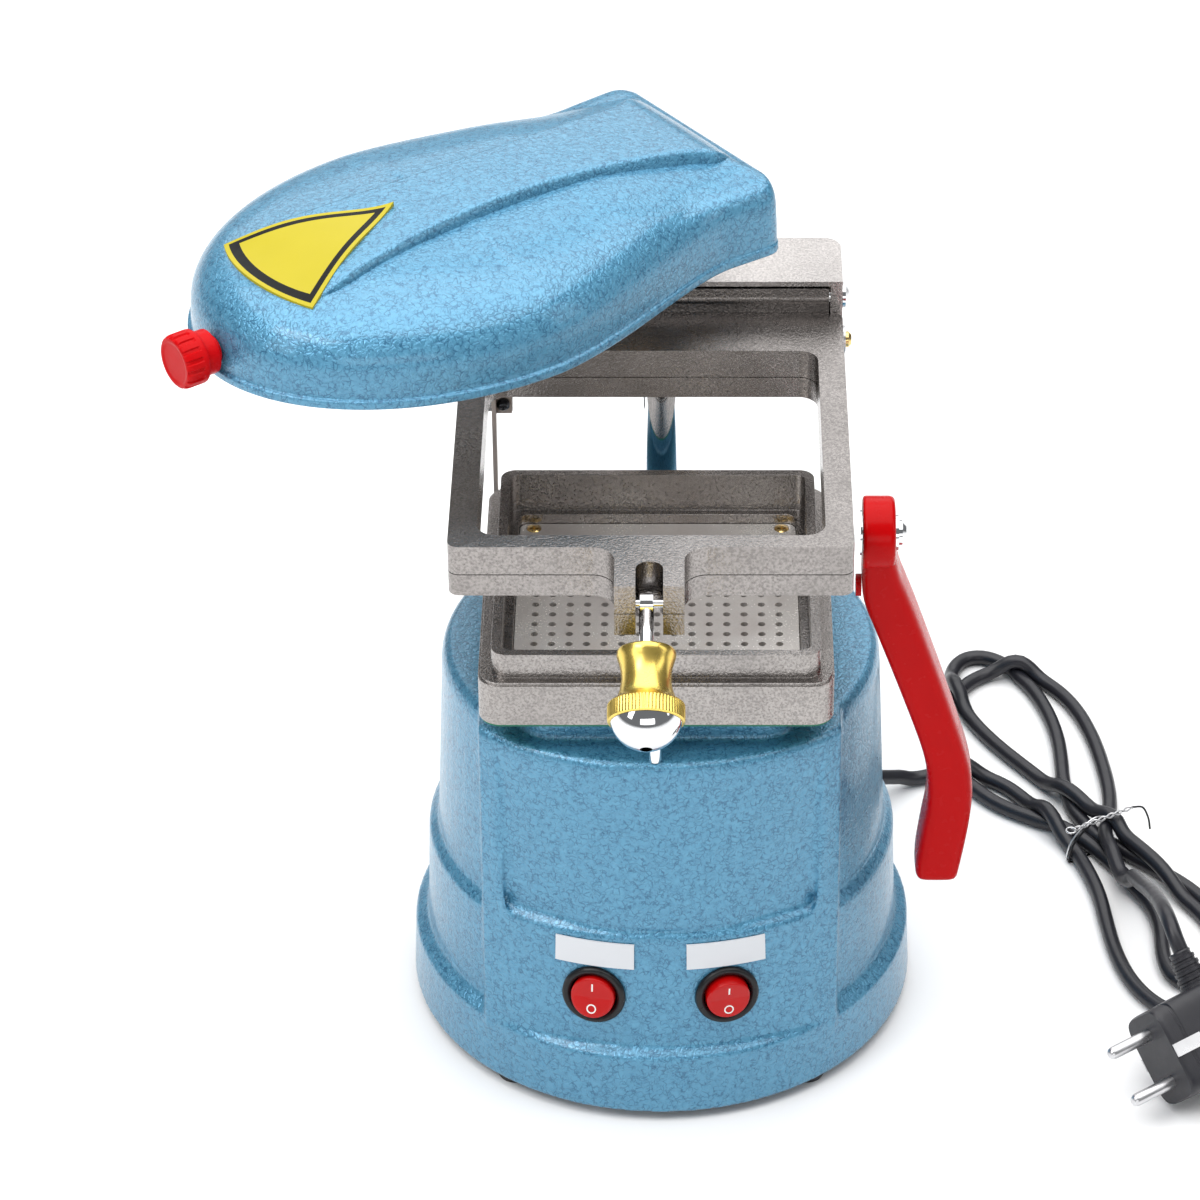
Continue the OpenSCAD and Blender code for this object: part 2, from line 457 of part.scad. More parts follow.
// raised flat band along the top of the dome: half width and height by station
function rr(s) = 15 + 8*pow((s - 75)/80, 2) + 4*sm((6 - s)/20);
function rz(s) = 40.4 - 6.5*pow((s - 82)/90, 2) - 3.5*sm((s - 150)/20) - 9.5*pow(max(0, (-2 - s)/18), 1.6);
module ridge(n) {
  skin([for (i = [0:n]) let (s = -15 + 183*i/n, c = cen(s)) each [[s, c - rr(s) - 1.5, heat_z + 22], [s, c - rr(s), heat_z + rz(s)],
    [s, c + rr(s), heat_z + rz(s)], [s, c + rr(s) + 1.5, heat_z + 22]]], 4, n + 1);
}
dome_out = [[0, 0], [0, 3], [1.2, 4], [1.6, 13], [3.2, 19], [6.5, 24], [11.5, 27.8], [17, 30], [23, 31.6], [34, 33.6], [46, 35], [58, 35.8]];
module dome_skin() { shell(dome_out, heat_z, 36); ridge(30); }
module heater_cover() color([0.27, 0.56, 0.72]) heat_place() difference() {
  dome_skin();
  shell([[2.4, -1], [2.4, 4], [3.8, 13], [5.4, 18], [8.7, 22.4], [13.6, 25.6], [19, 27.4], [23, 28.4], [34, 30.2], [46, 31.6], [58, 32.4]], heat_z, 36);
}
module reflector_pan() color([0.82, 0.82, 0.83]) heat_place() difference() {
  union() { translate([hc + 6, 0, heat_z + 3]) cylinder(r = 64, h = 1); translate([hc + 6, 0, heat_z + 3.9]) difference() { cylinder(r = 58, h = 12); translate([0, 0, -1]) cylinder(r = 57, h = 14); } }
  translate([hc + 6, 0, heat_z]) cylinder(r = 54, h = 6);
}
module ceramic_plate() color([0.93, 0.92, 0.88]) heat_place() translate([hc + 6, 0, heat_z + 8.6]) difference() {
  cylinder(r = 56, h = 6);
  for (r = [12, 24, 36, 48]) translate([0, 0, -1]) difference() { cylinder(r = r + 2.4, h = 3.6); translate([0, 0, -1]) cylinder(r = r - 2.4, h = 8); }
}
module heating_coil() color([0.5, 0.42, 0.36]) heat_place() translate([hc + 6, 0, heat_z + 9]) for (r = [12, 24, 36, 48]) rotate_extrude() translate([r, 0]) circle(1.7, $fn = 16);
module pivot_bush() color([0.72, 0.55, 0.3]) heat_place() difference() {
  union() { translate([0, 0, cz + 0.1]) cylinder(r = 11, h = 2.4); translate([0, 0, cz + 0.1]) cylinder(r = 9.5, h = 22.6); translate([-14, -14, heat_z + 4.1]) cube([58, 28, 3]); }
  translate([0, 0, cz - 5]) cylinder(r = 7.04, h = 50);
}
module pivot_screw() color([0.78, 0.78, 0.8]) translate([0, col_y, cz + 23.02]) cylinder(r = 9, h = 2.2);
module heater_knob() color([0.82, 0.05, 0.06]) heat_place() translate([heat_tip - 1.3, 0, heat_z + 10]) rotate([0, 90, 0]) union() {
  cylinder(r = 5, h = 3);
  translate([0, 0, 1.9]) cylinder(r = 8.1, h = 5.4);
  translate([0, 0, 7.2]) cylinder(r = 9.9, h = 8);
  translate([0, 0, 15.1]) cylinder(r1 = 9.9, r2 = 8.7, h = 1.3);
}
module heater_sticker() color([0.95, 0.83, 0.1]) heat_place() intersection() {
  difference() { translate([0, 0, 0.45]) dome_skin(); translate([0, 0, 0.05]) dome_skin(); }
  translate([0, 0, heat_z + 20]) linear_extrude(40) polygon(concat([[116, -1.7]], [for (a = [-28:4:28]) [116 + 60.5*cos(a), -1.7 + 60.5*sin(a)]]));
}

// ---------- cord ----------
// lead from the strain relief to the hank, by hand-chosen round points
lead = [[74, 99.5, 16.1], [76, 102, 15.9], [81.5, 108.5, 13.6], [87, 113.5, 10.8], [93, 118, 7.6], [99, 122, 5], [106, 125, 3.6], [114, 127, 3.6]];
// tail from the hank up to the plug
tail = [[180, 52, 13], [182.5, 38, 19], [184.5, 22, 27], [186.3, 6, 35.5], [187.7, -8, 42], [188.6, -20, 46.4], [189.8, -28.6, 47.4], [191.4, -33.8, 44.8], [193.4, -37.1, 41], [195.6, -40.1, 37.7]];
function unit(v) = v/norm(v);
function tang(p, i) = unit(p[min(i + 1, len(p) - 1)] - p[max(i - 1, 0)]);
function ringpts(p, i, r, n) = let (t = tang(p, i), u = unit(cross(t, [0, 0, 1])), v = cross(u, t)) [for (k = [0:n - 1]) p[i] + r*(cos(360*k/n + 22.5)*u + sin(360*k/n + 22.5)*v)];
module tube(p, r, n) {
  m = len(p);
  polyhedron([for (i = [0:m - 1]) each ringpts(p, i, r, n)],
    concat([[for (k = [0:n - 1]) k]], [[for (k = [n - 1:-1:0]) (m - 1)*n + k]],
    [for (i = [0:m - 2], k = [0:n - 1]) [i*n + k, (i + 1)*n + k, (i + 1)*n + (k + 1)%n, i*n + (k + 1)%n]]));
}
module strain_relief() color([0.05, 0.05, 0.05]) gland_place() {
  difference() {
    union() {
      translate([0, 0, -8]) cylinder(r = 5.98, h = 9.6);
      translate([0, 0, 1.4]) cylinder(r = 7.6, h = 2.1);
      translate([0, 0, 3.4]) cylinder(r1 = 6, r2 = 3.6, h = 24);
    }
    translate([0, 0, -9]) cylinder(r = 2.6, h = 20);
  }
}
module power_cord() color([0.05, 0.05, 0.05]) tube(lead, cord_d/2, 8);
// room taken by the tied hank on the table, by hand-chosen round points
hank_pts = [[126, 104], [114, 118], [108, 140], [108, 165], [112, 190], [116, 206], [126, 214], [138, 216], [150, 209], [164, 198], [178, 184], [184, 150], [186, 110], [192, 84],
  [208, 58], [220, 38], [228, 22], [232, 4], [231, -14], [225, -28], [213, -36], [198, -36], [184, -28], [175, -12], [170, 8], [167, 30], [164, 54], [154, 80], [142, 94]];
module cord_hank() color([0.06, 0.06, 0.06]) linear_extrude(17) polygon(hank_pts);
module cord_tail() color([0.05, 0.05, 0.05]) tube(tail, cord_d/2, 8);
module wire_tie() color([0.7, 0.7, 0.72]) translate([171, 80, 17.1]) rotate([0, 0, 28]) { cube([30, 1, 1], center = false); translate([-4, 0, 0]) cube([5, 1, 1]); }

// ---------- plug ----------
// stands on its edge, pins forward and to the left
module plug_place() { translate([183.7, -74.1, 19.6]) rotate([48, 0, 216.87]) children(); }
module plug_body() color([0.06, 0.06, 0.07]) plug_place() difference() {
  union() {
    intersection() {
      translate([-38, -12, -18]) cube([38, 24, 36]);
      translate([-19, 0, 0]) rotate([0, 90, 0]) linear_extrude(60, center = true) rrect(36, 24, 7);
      translate([-19, 0, 0]) rotate([90, 0, 0]) linear_extrude(60, center = true) rrect(38, 36, 5);
    }
    translate([-30, 0, 17]) cylinder(r1 = 6.6, r2 = 4.2, h = 15);
  }
  for (z = [-9.5, 9.5]) translate([-11, 0, z]) rotate([0, 90, 0]) cylinder(r = 2.22, h = 20);
  translate([-30, 0, 20]) cylinder(r = 3.02, h = 20);
  for (s = [-1, 1]) translate([-13, s*12.05 - 0.65, -2.6]) cube([20, 1.3, 5.2]);
}
module plug_pins() color([0.8, 0.8, 0.8]) plug_place() for (z = [-9.5, 9.5]) translate([0, 0, z]) rotate([0, 90, 0]) {
  translate([0, 0, -10.9]) cylinder(r = 2.2, h = 11.2);
  translate([0, 0, 0.1]) cylinder(r = 2.4, h = 17);
  translate([0, 0, 17.1 - e]) cylinder(r1 = 2.4, r2 = 1.2, h = 1.9);
}
module earth_strips() color([0.8, 0.8, 0.8]) plug_place() for (s = [-1, 1]) translate([-12.9, s*11.9 - 0.4, -2.5]) cube([12.7, 0.8, 5]);

base_housing();
bottom_cover();
cover_screws();
rubber_feet();
foot_screws();
foot_nuts();
vacuum_tray();
tray_gasket();
perforated_plate();
plate_screws();
column();
column_nut();
front_rest_stud();
suction_pipe();
motor_can();
motor_bracket();
motor_shaft();
impeller();
impeller_housing();
terminal_block();
switch_bezel_left();
switch_bezel_right();
rocker_left();
rocker_right();
label_left();
label_right();
slide_block();
slide_bush();
frame_screws();
lower_frame();
upper_frame();
hinge_screws();
side_washer();
side_screw();
guide_strip();
guide_screw();
lever_stud();
lever();
lever_screw();
lever_peg();
bolt_pin();
swing_bolt();
clamp_ball();
clamp_grip();
heater_cover();
reflector_pan();
ceramic_plate();
heating_coil();
pivot_bush();
pivot_screw();
heater_knob();
heater_sticker();
strain_relief();
power_cord();
cord_hank();
cord_tail();
wire_tie();
plug_body();
plug_pins();
earth_strips();
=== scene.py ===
# Bench vacuum former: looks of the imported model, in metres, in the model's own frame.
import bpy
import bmesh
import math
import numpy as np
from mathutils import Vector, Matrix, geometry
from mathutils.bvhtree import BVHTree


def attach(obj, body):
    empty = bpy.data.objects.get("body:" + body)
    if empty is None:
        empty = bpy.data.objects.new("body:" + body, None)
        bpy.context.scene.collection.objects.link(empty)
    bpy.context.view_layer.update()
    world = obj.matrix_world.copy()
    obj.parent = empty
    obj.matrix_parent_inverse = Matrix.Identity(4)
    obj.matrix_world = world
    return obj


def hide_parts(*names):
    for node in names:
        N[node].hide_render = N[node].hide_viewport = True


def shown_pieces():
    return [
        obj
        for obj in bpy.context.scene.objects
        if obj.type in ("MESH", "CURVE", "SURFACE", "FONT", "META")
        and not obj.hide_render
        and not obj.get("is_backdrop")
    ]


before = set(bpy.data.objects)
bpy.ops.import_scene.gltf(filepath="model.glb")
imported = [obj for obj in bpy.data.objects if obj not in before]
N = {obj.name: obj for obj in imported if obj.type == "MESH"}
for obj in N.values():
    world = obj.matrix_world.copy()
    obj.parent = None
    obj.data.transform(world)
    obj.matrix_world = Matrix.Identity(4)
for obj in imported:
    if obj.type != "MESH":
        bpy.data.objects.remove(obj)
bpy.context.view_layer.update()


MM = 0.001
rad = math.radians

# ---------------------------------------------------------------- camera
cam = bpy.data.cameras.new("view_camera")
cam.lens = 141.9
cam.sensor_width = 36
cam.shift_x = -0.071
cam.clip_start = 0.05
cam.clip_end = 20
cam_o = bpy.data.objects.new("view_camera", cam)
cam_o.location = (0.009, -1.4235, 1.1335)
cam_o.rotation_euler = (rad(56), 0, 0)
bpy.context.scene.collection.objects.link(cam_o)
bpy.context.scene.camera = cam_o


# ---------------------------------------------------------------- helpers
def link(o):
    bpy.context.scene.collection.objects.link(o)
    return o


def sharpen(me, angle=35):
    for p in me.polygons:
        p.use_smooth = True
    me.set_sharp_from_angle(angle=rad(angle))


def mesh_obj(name, verts, faces, smooth=35, scale=MM):
    me = bpy.data.meshes.new(name)
    me.from_pydata([tuple(float(c) * scale for c in v) for v in verts], [], [tuple(f) for f in faces])
    me.validate()
    bm = bmesh.new()
    bm.from_mesh(me)
    bmesh.ops.recalc_face_normals(bm, faces=bm.faces)
    bm.to_mesh(me)
    bm.free()
    if smooth is not None:
        sharpen(me, smooth)
    return link(bpy.data.objects.new(name, me))


def bake(o):
    """puts an object's modifiers into its mesh"""
    dg = bpy.context.evaluated_depsgraph_get()
    me = bpy.data.meshes.new_from_object(o.evaluated_get(dg))
    old = o.data
    o.modifiers.clear()
    o.data = me
    bpy.data.meshes.remove(old)
    return o


def copy_of(node, name):
    return link(bpy.data.objects.new(name, N[node].data.copy()))


def rounded(node, name, width=0.6, segs=2, angle=38, extra=None):
    """a copy of a CAD solid with its edges broken, as a casting's are"""
    o = copy_of(node, name)
    bm = bmesh.new()
    bm.from_mesh(o.data)
    bmesh.ops.remove_doubles(bm, verts=bm.verts, dist=2e-6)
    bmesh.ops.dissolve_limit(bm, angle_limit=rad(0.6), verts=bm.verts, edges=bm.edges)
    edges = [e for e in bm.edges if len(e.link_faces) == 2 and e.calc_face_angle(0) > rad(angle)
             and (extra is None or extra(e))]
    bmesh.ops.bevel(bm, geom=edges, offset=width * MM, offset_type="OFFSET", segments=segs, profile=0.5,
                    affect="EDGES", clamp_overlap=True)
    bmesh.ops.remove_doubles(bm, verts=bm.verts, dist=2e-6)
    bm.to_mesh(o.data)
    bm.free()
    sharpen(o.data, 42)
    m = o.modifiers.new("wn", "WEIGHTED_NORMAL")
    m.keep_sharp = True
    m.weight = 90
    return bake(o)


def cast(node, name, voxel=1.0, rounds=6, keep=1.0):
    """a copy of a CAD solid with soft, cast edges"""
    o = copy_of(node, name)
    m = o.modifiers.new("r", "REMESH")
    m.mode = "VOXEL"
    m.voxel_size = voxel * MM
    m.use_smooth_shade = True
    s = o.modifiers.new("s", "SMOOTH")
    s.factor = 0.5
    s.iterations = rounds
    if keep < 1:
        d = o.modifiers.new("d", "DECIMATE")
        d.ratio = keep
    bake(o)
    for p in o.data.polygons:
        p.use_smooth = True
    return o


def lathe(name, prof, n=72, mod=None, close=True):
    """profile of (radius, height) turned about +Z; mod(a, r, z) may change the radius"""
    v, f = [], []
    k = len(prof)
    for r, z in prof:
        for i in range(n):
            a = 2 * math.pi * i / n
            q = mod(a, r, z) if mod else r
            v.append((q * math.cos(a), q * math.sin(a), z))
    for j in range(k - 1):
        for i in range(n):
            f.append((j * n + i, j * n + (i + 1) % n, (j + 1) * n + (i + 1) % n, (j + 1) * n + i))
    if close:
        f.append(tuple(range(n - 1, -1, -1)))
        f.append(tuple((k - 1) * n + i for i in range(n)))
    return v, f


def moved(verts, M):
    return [tuple(M @ Vector(v)) for v in verts]


def join_lists(parts):
    v, f = [], []
    for a, b in parts:
        o = len(v)
        v += list(a)
        f += [tuple(i + o for i in q) for q in b]
    return v, f


def box_list(x0, x1, y0, y1, z0, z1):
    v = [(x, y, z) for z in (z0, z1) for y in (y0, y1) for x in (x0, x1)]
    return v, [(0, 2, 3, 1), (4, 5, 7, 6), (0, 1, 5, 4), (2, 6, 7, 3), (0, 4, 6, 2), (1, 3, 7, 5)]


def spline(pts, per=8):
    """smooth line through the points (Catmull-Rom)"""
    p = np.array(pts, float)
    p = np.vstack([2 * p[0] - p[1], p, 2 * p[-1] - p[-2]])
    out = []
    for i in range(1, len(p) - 2):
        for k in range(per):
            t = k / per
            a, b, c, d = p[i - 1], p[i], p[i + 1], p[i + 2]
            out.append(0.5 * ((2 * b) + (-a + c) * t + (2 * a - 5 * b + 4 * c - d) * t * t + (-a + 3 * b - 3 * c + d) * t ** 3))
    out.append(p[-2])
    return np.array(out)


def even(p, step):
    d = np.r_[0, np.cumsum(np.linalg.norm(np.diff(p, axis=0), axis=1))]
    n = max(2, int(round(d[-1] / step)))
    t = np.linspace(0, d[-1], n + 1)
    return np.stack([np.interp(t, d, p[:, k]) for k in range(p.shape[1])], 1)


def curve_obj(name, pts, r, res=5, scale=MM):
    cu = bpy.data.curves.new(name, "CURVE")
    cu.dimensions = "3D"
    sp = cu.splines.new("POLY")
    sp.points.add(len(pts) - 1)
    for q, p in zip(sp.points, pts):
        q.co = (p[0] * scale, p[1] * scale, p[2] * scale, 1)
        q.radius = r * scale  # a curve's own box counts this radius, so it holds the size
    cu.bevel_depth = 1.0
    cu.bevel_resolution = res
    cu.use_fill_caps = True
    return link(bpy.data.objects.new(name, cu))


# ---------------------------------------------------------------- cord
R = 3.0
lead = [(74, 99.5, 16.1), (76, 102, 15.9), (81.5, 108.5, 13.6), (87, 113.5, 10.8), (93, 118, 7.6), (99, 122, 5), (106, 125, 3.6),
        (114, 127, 3.6), (123, 126.5, 7), (131, 124, 9), (139, 118, 8.4), (146, 108, 6), (152, 97, 4), (158, 86, 3.2), (164, 73.5, 3.1)]
turn_a = [(168, 60, 3.1), (171, 46, 3.1), (172.5, 28, 3.1), (174.5, 10, 3.1), (179, -8, 3.1), (187, -22, 3.1), (199, -31, 3.1), (212, -31, 3.1),
          (222, -23, 3.1), (227, -10, 3.1), (227, 6, 3.1), (222, 22, 3.1), (214, 37, 3.1), (204, 51, 3.1), (192, 65, 3.1), (178, 80, 3.1)]
loop_1 = [(169, 92, 3.1), (163.5, 104, 3.1), (161.5, 118, 3.1), (162, 134, 3.1), (161.5, 152, 3.1), (158.5, 170, 3.1), (153, 187, 3.1), (145, 202, 3.1),
          (135, 211, 3.6), (125.5, 209.5, 5.5), (120, 200, 8.0), (119.8, 188, 9.4), (123, 174, 9.2), (129, 159, 9), (137, 145, 9), (146, 132, 9),
          (155, 119.5, 10.2), (164, 107, 12), (172, 95, 13), (179, 83, 9.6)]
turn_b = [(187, 71, 9.4), (196, 58.5, 8.8), (205, 45, 7.2), (212, 30, 4.2), (215.5, 13, 3.2), (213, -4, 3.2), (204, -13, 3.2), (194.5, -6, 3.4),
          (192.5, 9, 4), (193.5, 24, 5.5), (191.5, 39, 8), (184, 54, 9.6), (172, 76, 9.4)]
loop_2 = [(163, 87, 5), (153, 94, 3.4), (143, 99, 3.1), (133.5, 106, 3.1), (125, 117, 3.1), (118, 130, 3.1), (114, 144, 3.1), (114, 158, 3.1),
          (117, 173, 3.1), (123.5, 187, 4), (132, 196, 7.2), (142, 200, 9.2), (152, 197.5, 8.6), (162, 188, 5), (170.5, 172, 3.1), (176, 151, 3.1),
          (179, 128, 3.1), (180, 110, 3.4), (178.5, 96, 4.8), (175, 81, 8.6)]
tail = [(177.5, 65.5, 10), (180, 52, 13), (182.5, 38, 19), (184.5, 22, 27), (186.3, 6, 35.5), (187.7, -8, 42), (188.6, -20, 46.4),
        (189.8, -28.6, 47.4), (191.4, -33.8, 44.8), (193.4, -37.1, 41), (195.6, -40.1, 37.7)]
route = even(spline(lead + turn_a + loop_1 + turn_b + loop_2 + tail, 10), 4.0)
n_pts = len(route)
home = route.copy()
d_tail = np.linalg.norm(route - np.array(tail[2]), axis=1)
i_tail = int(np.argmin(d_tail))
free = np.ones(n_pts, bool)
free[:9] = False
free[i_tail:] = False
idx = np.arange(n_pts)
far = np.abs(idx[:, None] - idx[None, :]) > 4
for it in range(260):
    p = route
    q = p.copy()
    q[1:-1] += 0.22 * (0.5 * (p[:-2] + p[2:]) - p[1:-1])
    q[:, :2] += 0.06 * (home[:, :2] - q[:, :2])
    q[:, 2] -= 0.10
    for rep in range(2):
        dv = q[:, None, :] - q[None, :, :]
        dd = np.linalg.norm(dv, axis=2) + 1e-9
        hit = far & (dd < 2 * R + 0.12)
        w = np.where(hit, (2 * R + 0.12 - dd) / dd * 0.5, 0.0)[:, :, None]
        push = (w * dv * np.array([0.5, 0.5, 1.0])).sum(1)
        cnt = np.maximum(hit.sum(1), 1)[:, None]
        q += push / np.sqrt(cnt)
    q[:, 2] = np.maximum(q[:, 2], R + 0.05)
    q[~free] = home[~free]
    route = q
route = even(spline(route, 3), 2.4)
cord = curve_obj("power_lead", route, R, 7)
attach(cord, "base")
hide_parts("power_cord", "cord_hank", "cord_tail")


# ---------------------------------------------------------------- materials
def mat(name, **k):
    m = bpy.data.materials.new(name)
    m.use_nodes = True
    b = m.node_tree.nodes["Principled BSDF"]
    for key, v in k.items():
        s = b.inputs[key.replace("_", " ")]
        s.default_value = (*v, 1) if isinstance(v, tuple) and len(v) == 3 else v
    return m


class T:
    """short names for the nodes of one material"""

    def __init__(self, m):
        self.m, self.nt = m, m.node_tree
        self.b = self.nt.nodes["Principled BSDF"]
        tc = self.nt.nodes.new("ShaderNodeTexCoord")
        self.co = tc.outputs["Object"]

    def n(self, kind, **kw):
        x = self.nt.nodes.new(kind)
        for k, v in kw.items():
            setattr(x, k, v)
        return x

    def put(self, sock, v):
        if hasattr(v, "is_output") or isinstance(v, bpy.types.NodeSocket):
            self.nt.links.new(v, sock)
        else:
            sock.default_value = v

    def noise(self, scale, detail=2, rough=0.5, co=None, dist=0.0):
        x = self.n("ShaderNodeTexNoise")
        self.put(x.inputs["Vector"], co or self.co)
        x.inputs["Scale"].default_value = scale
        x.inputs["Detail"].default_value = detail
        x.inputs["Roughness"].default_value = rough
        x.inputs["Distortion"].default_value = dist
        return x.outputs["Fac"]

    def vor(self, scale, feature="F1", co=None, rnd=1.0, out="Distance"):
        x = self.n("ShaderNodeTexVoronoi", feature=feature)
        self.put(x.inputs["Vector"], co or self.co)
        x.inputs["Scale"].default_value = scale
        x.inputs["Randomness"].default_value = rnd
        return x.outputs[out]

    def math(self, op, a, b=0.0, c=0.0, clamp=False):
        x = self.n("ShaderNodeMath", operation=op, use_clamp=clamp)
        self.put(x.inputs[0], a)
        self.put(x.inputs[1], b)
        self.put(x.inputs[2], c)
        return x.outputs[0]

    def ramp(self, fac, stops, kind="LINEAR"):
        x = self.n("ShaderNodeValToRGB")
        self.put(x.inputs[0], fac)
        cr = x.color_ramp
        cr.interpolation = kind
        while len(cr.elements) < len(stops):
            cr.elements.new(0.5)
        for e, (pos, c) in zip(cr.elements, stops):
            e.position = pos
            e.color = (*c, 1) if isinstance(c, tuple) else (c, c, c, 1)
        return x.outputs[0]

    def mix(self, fac, a, b):
        x = self.n("ShaderNodeMix", data_type="RGBA")
        self.put(x.inputs[0], fac)
        for s, v in ((x.inputs[6], a), (x.inputs[7], b)):
            if isinstance(v, tuple):
                s.default_value = (*v, 1)
            else:
                self.put(s, v)
        return x.outputs[2]

    def span(self, fac, lo, hi, a=0.0, b=1.0):
        x = self.n("ShaderNodeMapRange")
        self.put(x.inputs[0], fac)
        for i, v in enumerate((lo, hi, a, b)):
            x.inputs[i + 1].default_value = v
        return x.outputs[0]

    def warp(self, scale, amount):
        x = self.n("ShaderNodeTexNoise")
        self.put(x.inputs["Vector"], self.co)
        x.inputs["Scale"].default_value = scale
        x.inputs["Detail"].default_value = 2
        v = self.n("ShaderNodeVectorMath", operation="MULTIPLY_ADD")
        self.put(v.inputs[0], x.outputs["Color"])
        v.inputs[1].default_value = (amount, amount, amount)
        self.put(v.inputs[2], self.co)
        return v.outputs[0]

    def stretch(self, x, y, z, co=None):
        v = self.n("ShaderNodeVectorMath", operation="MULTIPLY")
        self.put(v.inputs[0], co or self.co)
        v.inputs[1].default_value = (x, y, z)
        return v.outputs[0]

    def bump(self, h, strength, dist, after=None):
        x = self.n("ShaderNodeBump")
        x.inputs["Strength"].default_value = strength
        x.inputs["Distance"].default_value = dist
        self.put(x.inputs["Height"], h)
        if after is not None:
            self.put(x.inputs["Normal"], after)
        return x.outputs[0]

    def set(self, name, v):
        self.put(self.b.inputs[name], v)


def hammer_paint():
    m = mat("hammer_paint", Metallic=0.32, Roughness=0.3, Coat_Weight=0.5, Coat_Roughness=0.16)
    t = T(m)
    co = t.warp(330, 0.0042)
    edge = t.vor(470, "DISTANCE_TO_EDGE", co)
    fine = t.vor(760, "DISTANCE_TO_EDGE", co)
    hard = t.span(t.noise(420, 2), 0.40, 0.56, 0.0, 1.0)
    soft = t.span(t.noise(300, 2, 0.5, co), 0.48, 0.62, 0.0, 0.55)
    v1 = t.math("MULTIPLY", hard, t.math("SUBTRACT", 1.0, t.span(edge, 0.015, 0.13)))
    v2 = t.math("MULTIPLY", soft, t.math("SUBTRACT", 1.0, t.span(fine, 0.01, 0.10)))
    vein = t.math("SUBTRACT", 1.0, t.math("MULTIPLY", 0.85, t.math("MAXIMUM", v1, v2)))
    mid = t.noise(380, 2)
    c1 = t.mix(t.span(mid, 0.3, 0.7), (0.074, 0.262, 0.420), (0.098, 0.316, 0.486))
    c3 = t.mix(vein, (0.016, 0.105, 0.205), c1)
    t.set("Base Color", c3)
    t.set("Roughness", t.span(mid, 0.3, 0.7, 0.27, 0.38))
    n1 = t.bump(t.span(edge, 0.0, 0.30), 0.34, 0.0005)
    n2 = t.bump(t.noise(560, 2), 0.22, 0.0004, n1)
    t.set("Normal", n2)
    return m


def cast_nickel(name, col, rough, grain=1.0):
    m = mat(name, Metallic=1.0, Roughness=rough)
    t = T(m)
    a = t.noise(40, 3)
    b = t.noise(1150, 2, 0.6)
    c = t.noise(4200, 2, 0.6)
    lo = tuple(0.88 * x for x in col)
    hi = tuple(min(1, 1.08 * x) for x in col)
    base_c = t.mix(t.span(a, 0.3, 0.7), lo, hi)
    t.set("Base Color", t.mix(t.span(b, 0.40, 0.62, 0.0, 0.32 * grain), base_c, tuple(0.45 * x for x in col)))
    t.set("Roughness", t.math("ADD", t.span(a, 0.3, 0.7, rough - 0.04, rough + 0.04), t.span(b, 0.3, 0.7, -0.06, 0.06)))
    n1 = t.bump(b, 0.26 * grain, 0.0004)
    t.set("Normal", t.bump(c, 0.16 * grain, 0.0001, n1))
    return m


def metal(name, col, rough, spread=0.03, bump=0.03, scale=1500, aniso=0.0):
    m = mat(name, Metallic=1.0, Roughness=rough, Anisotropic=aniso)
    t = T(m)
    a = t.noise(120, 3)
    t.set("Base Color", t.mix(a, tuple(0.93 * x for x in col), tuple(min(1, 1.05 * x) for x in col)))
    t.set("Roughness", t.span(a, 0.25, 0.75, max(0.01, rough - spread), rough + spread))
    if bump:
        t.set("Normal", t.bump(t.noise(scale, 3), bump, 0.0002))
    return m


def plastic(name, col, rough, coat=0.0, grain=0.0, grain_scale=3000, vary=0.08, **k):
    m = mat(name, Roughness=rough, Coat_Weight=coat, Coat_Roughness=0.06, **k)
    t = T(m)
    a = t.noise(90, 3)
    t.set("Base Color", t.mix(a, tuple((1 - vary) * x for x in col), tuple(min(1, (1 + vary) * x) for x in col)))
    t.set("Roughness", t.span(t.noise(300, 2), 0.3, 0.7, max(0.02, rough - 0.04), rough + 0.05))
    if grain:
        t.set("Normal", t.bump(t.noise(grain_scale, 2), grain, 0.0003))
    return m


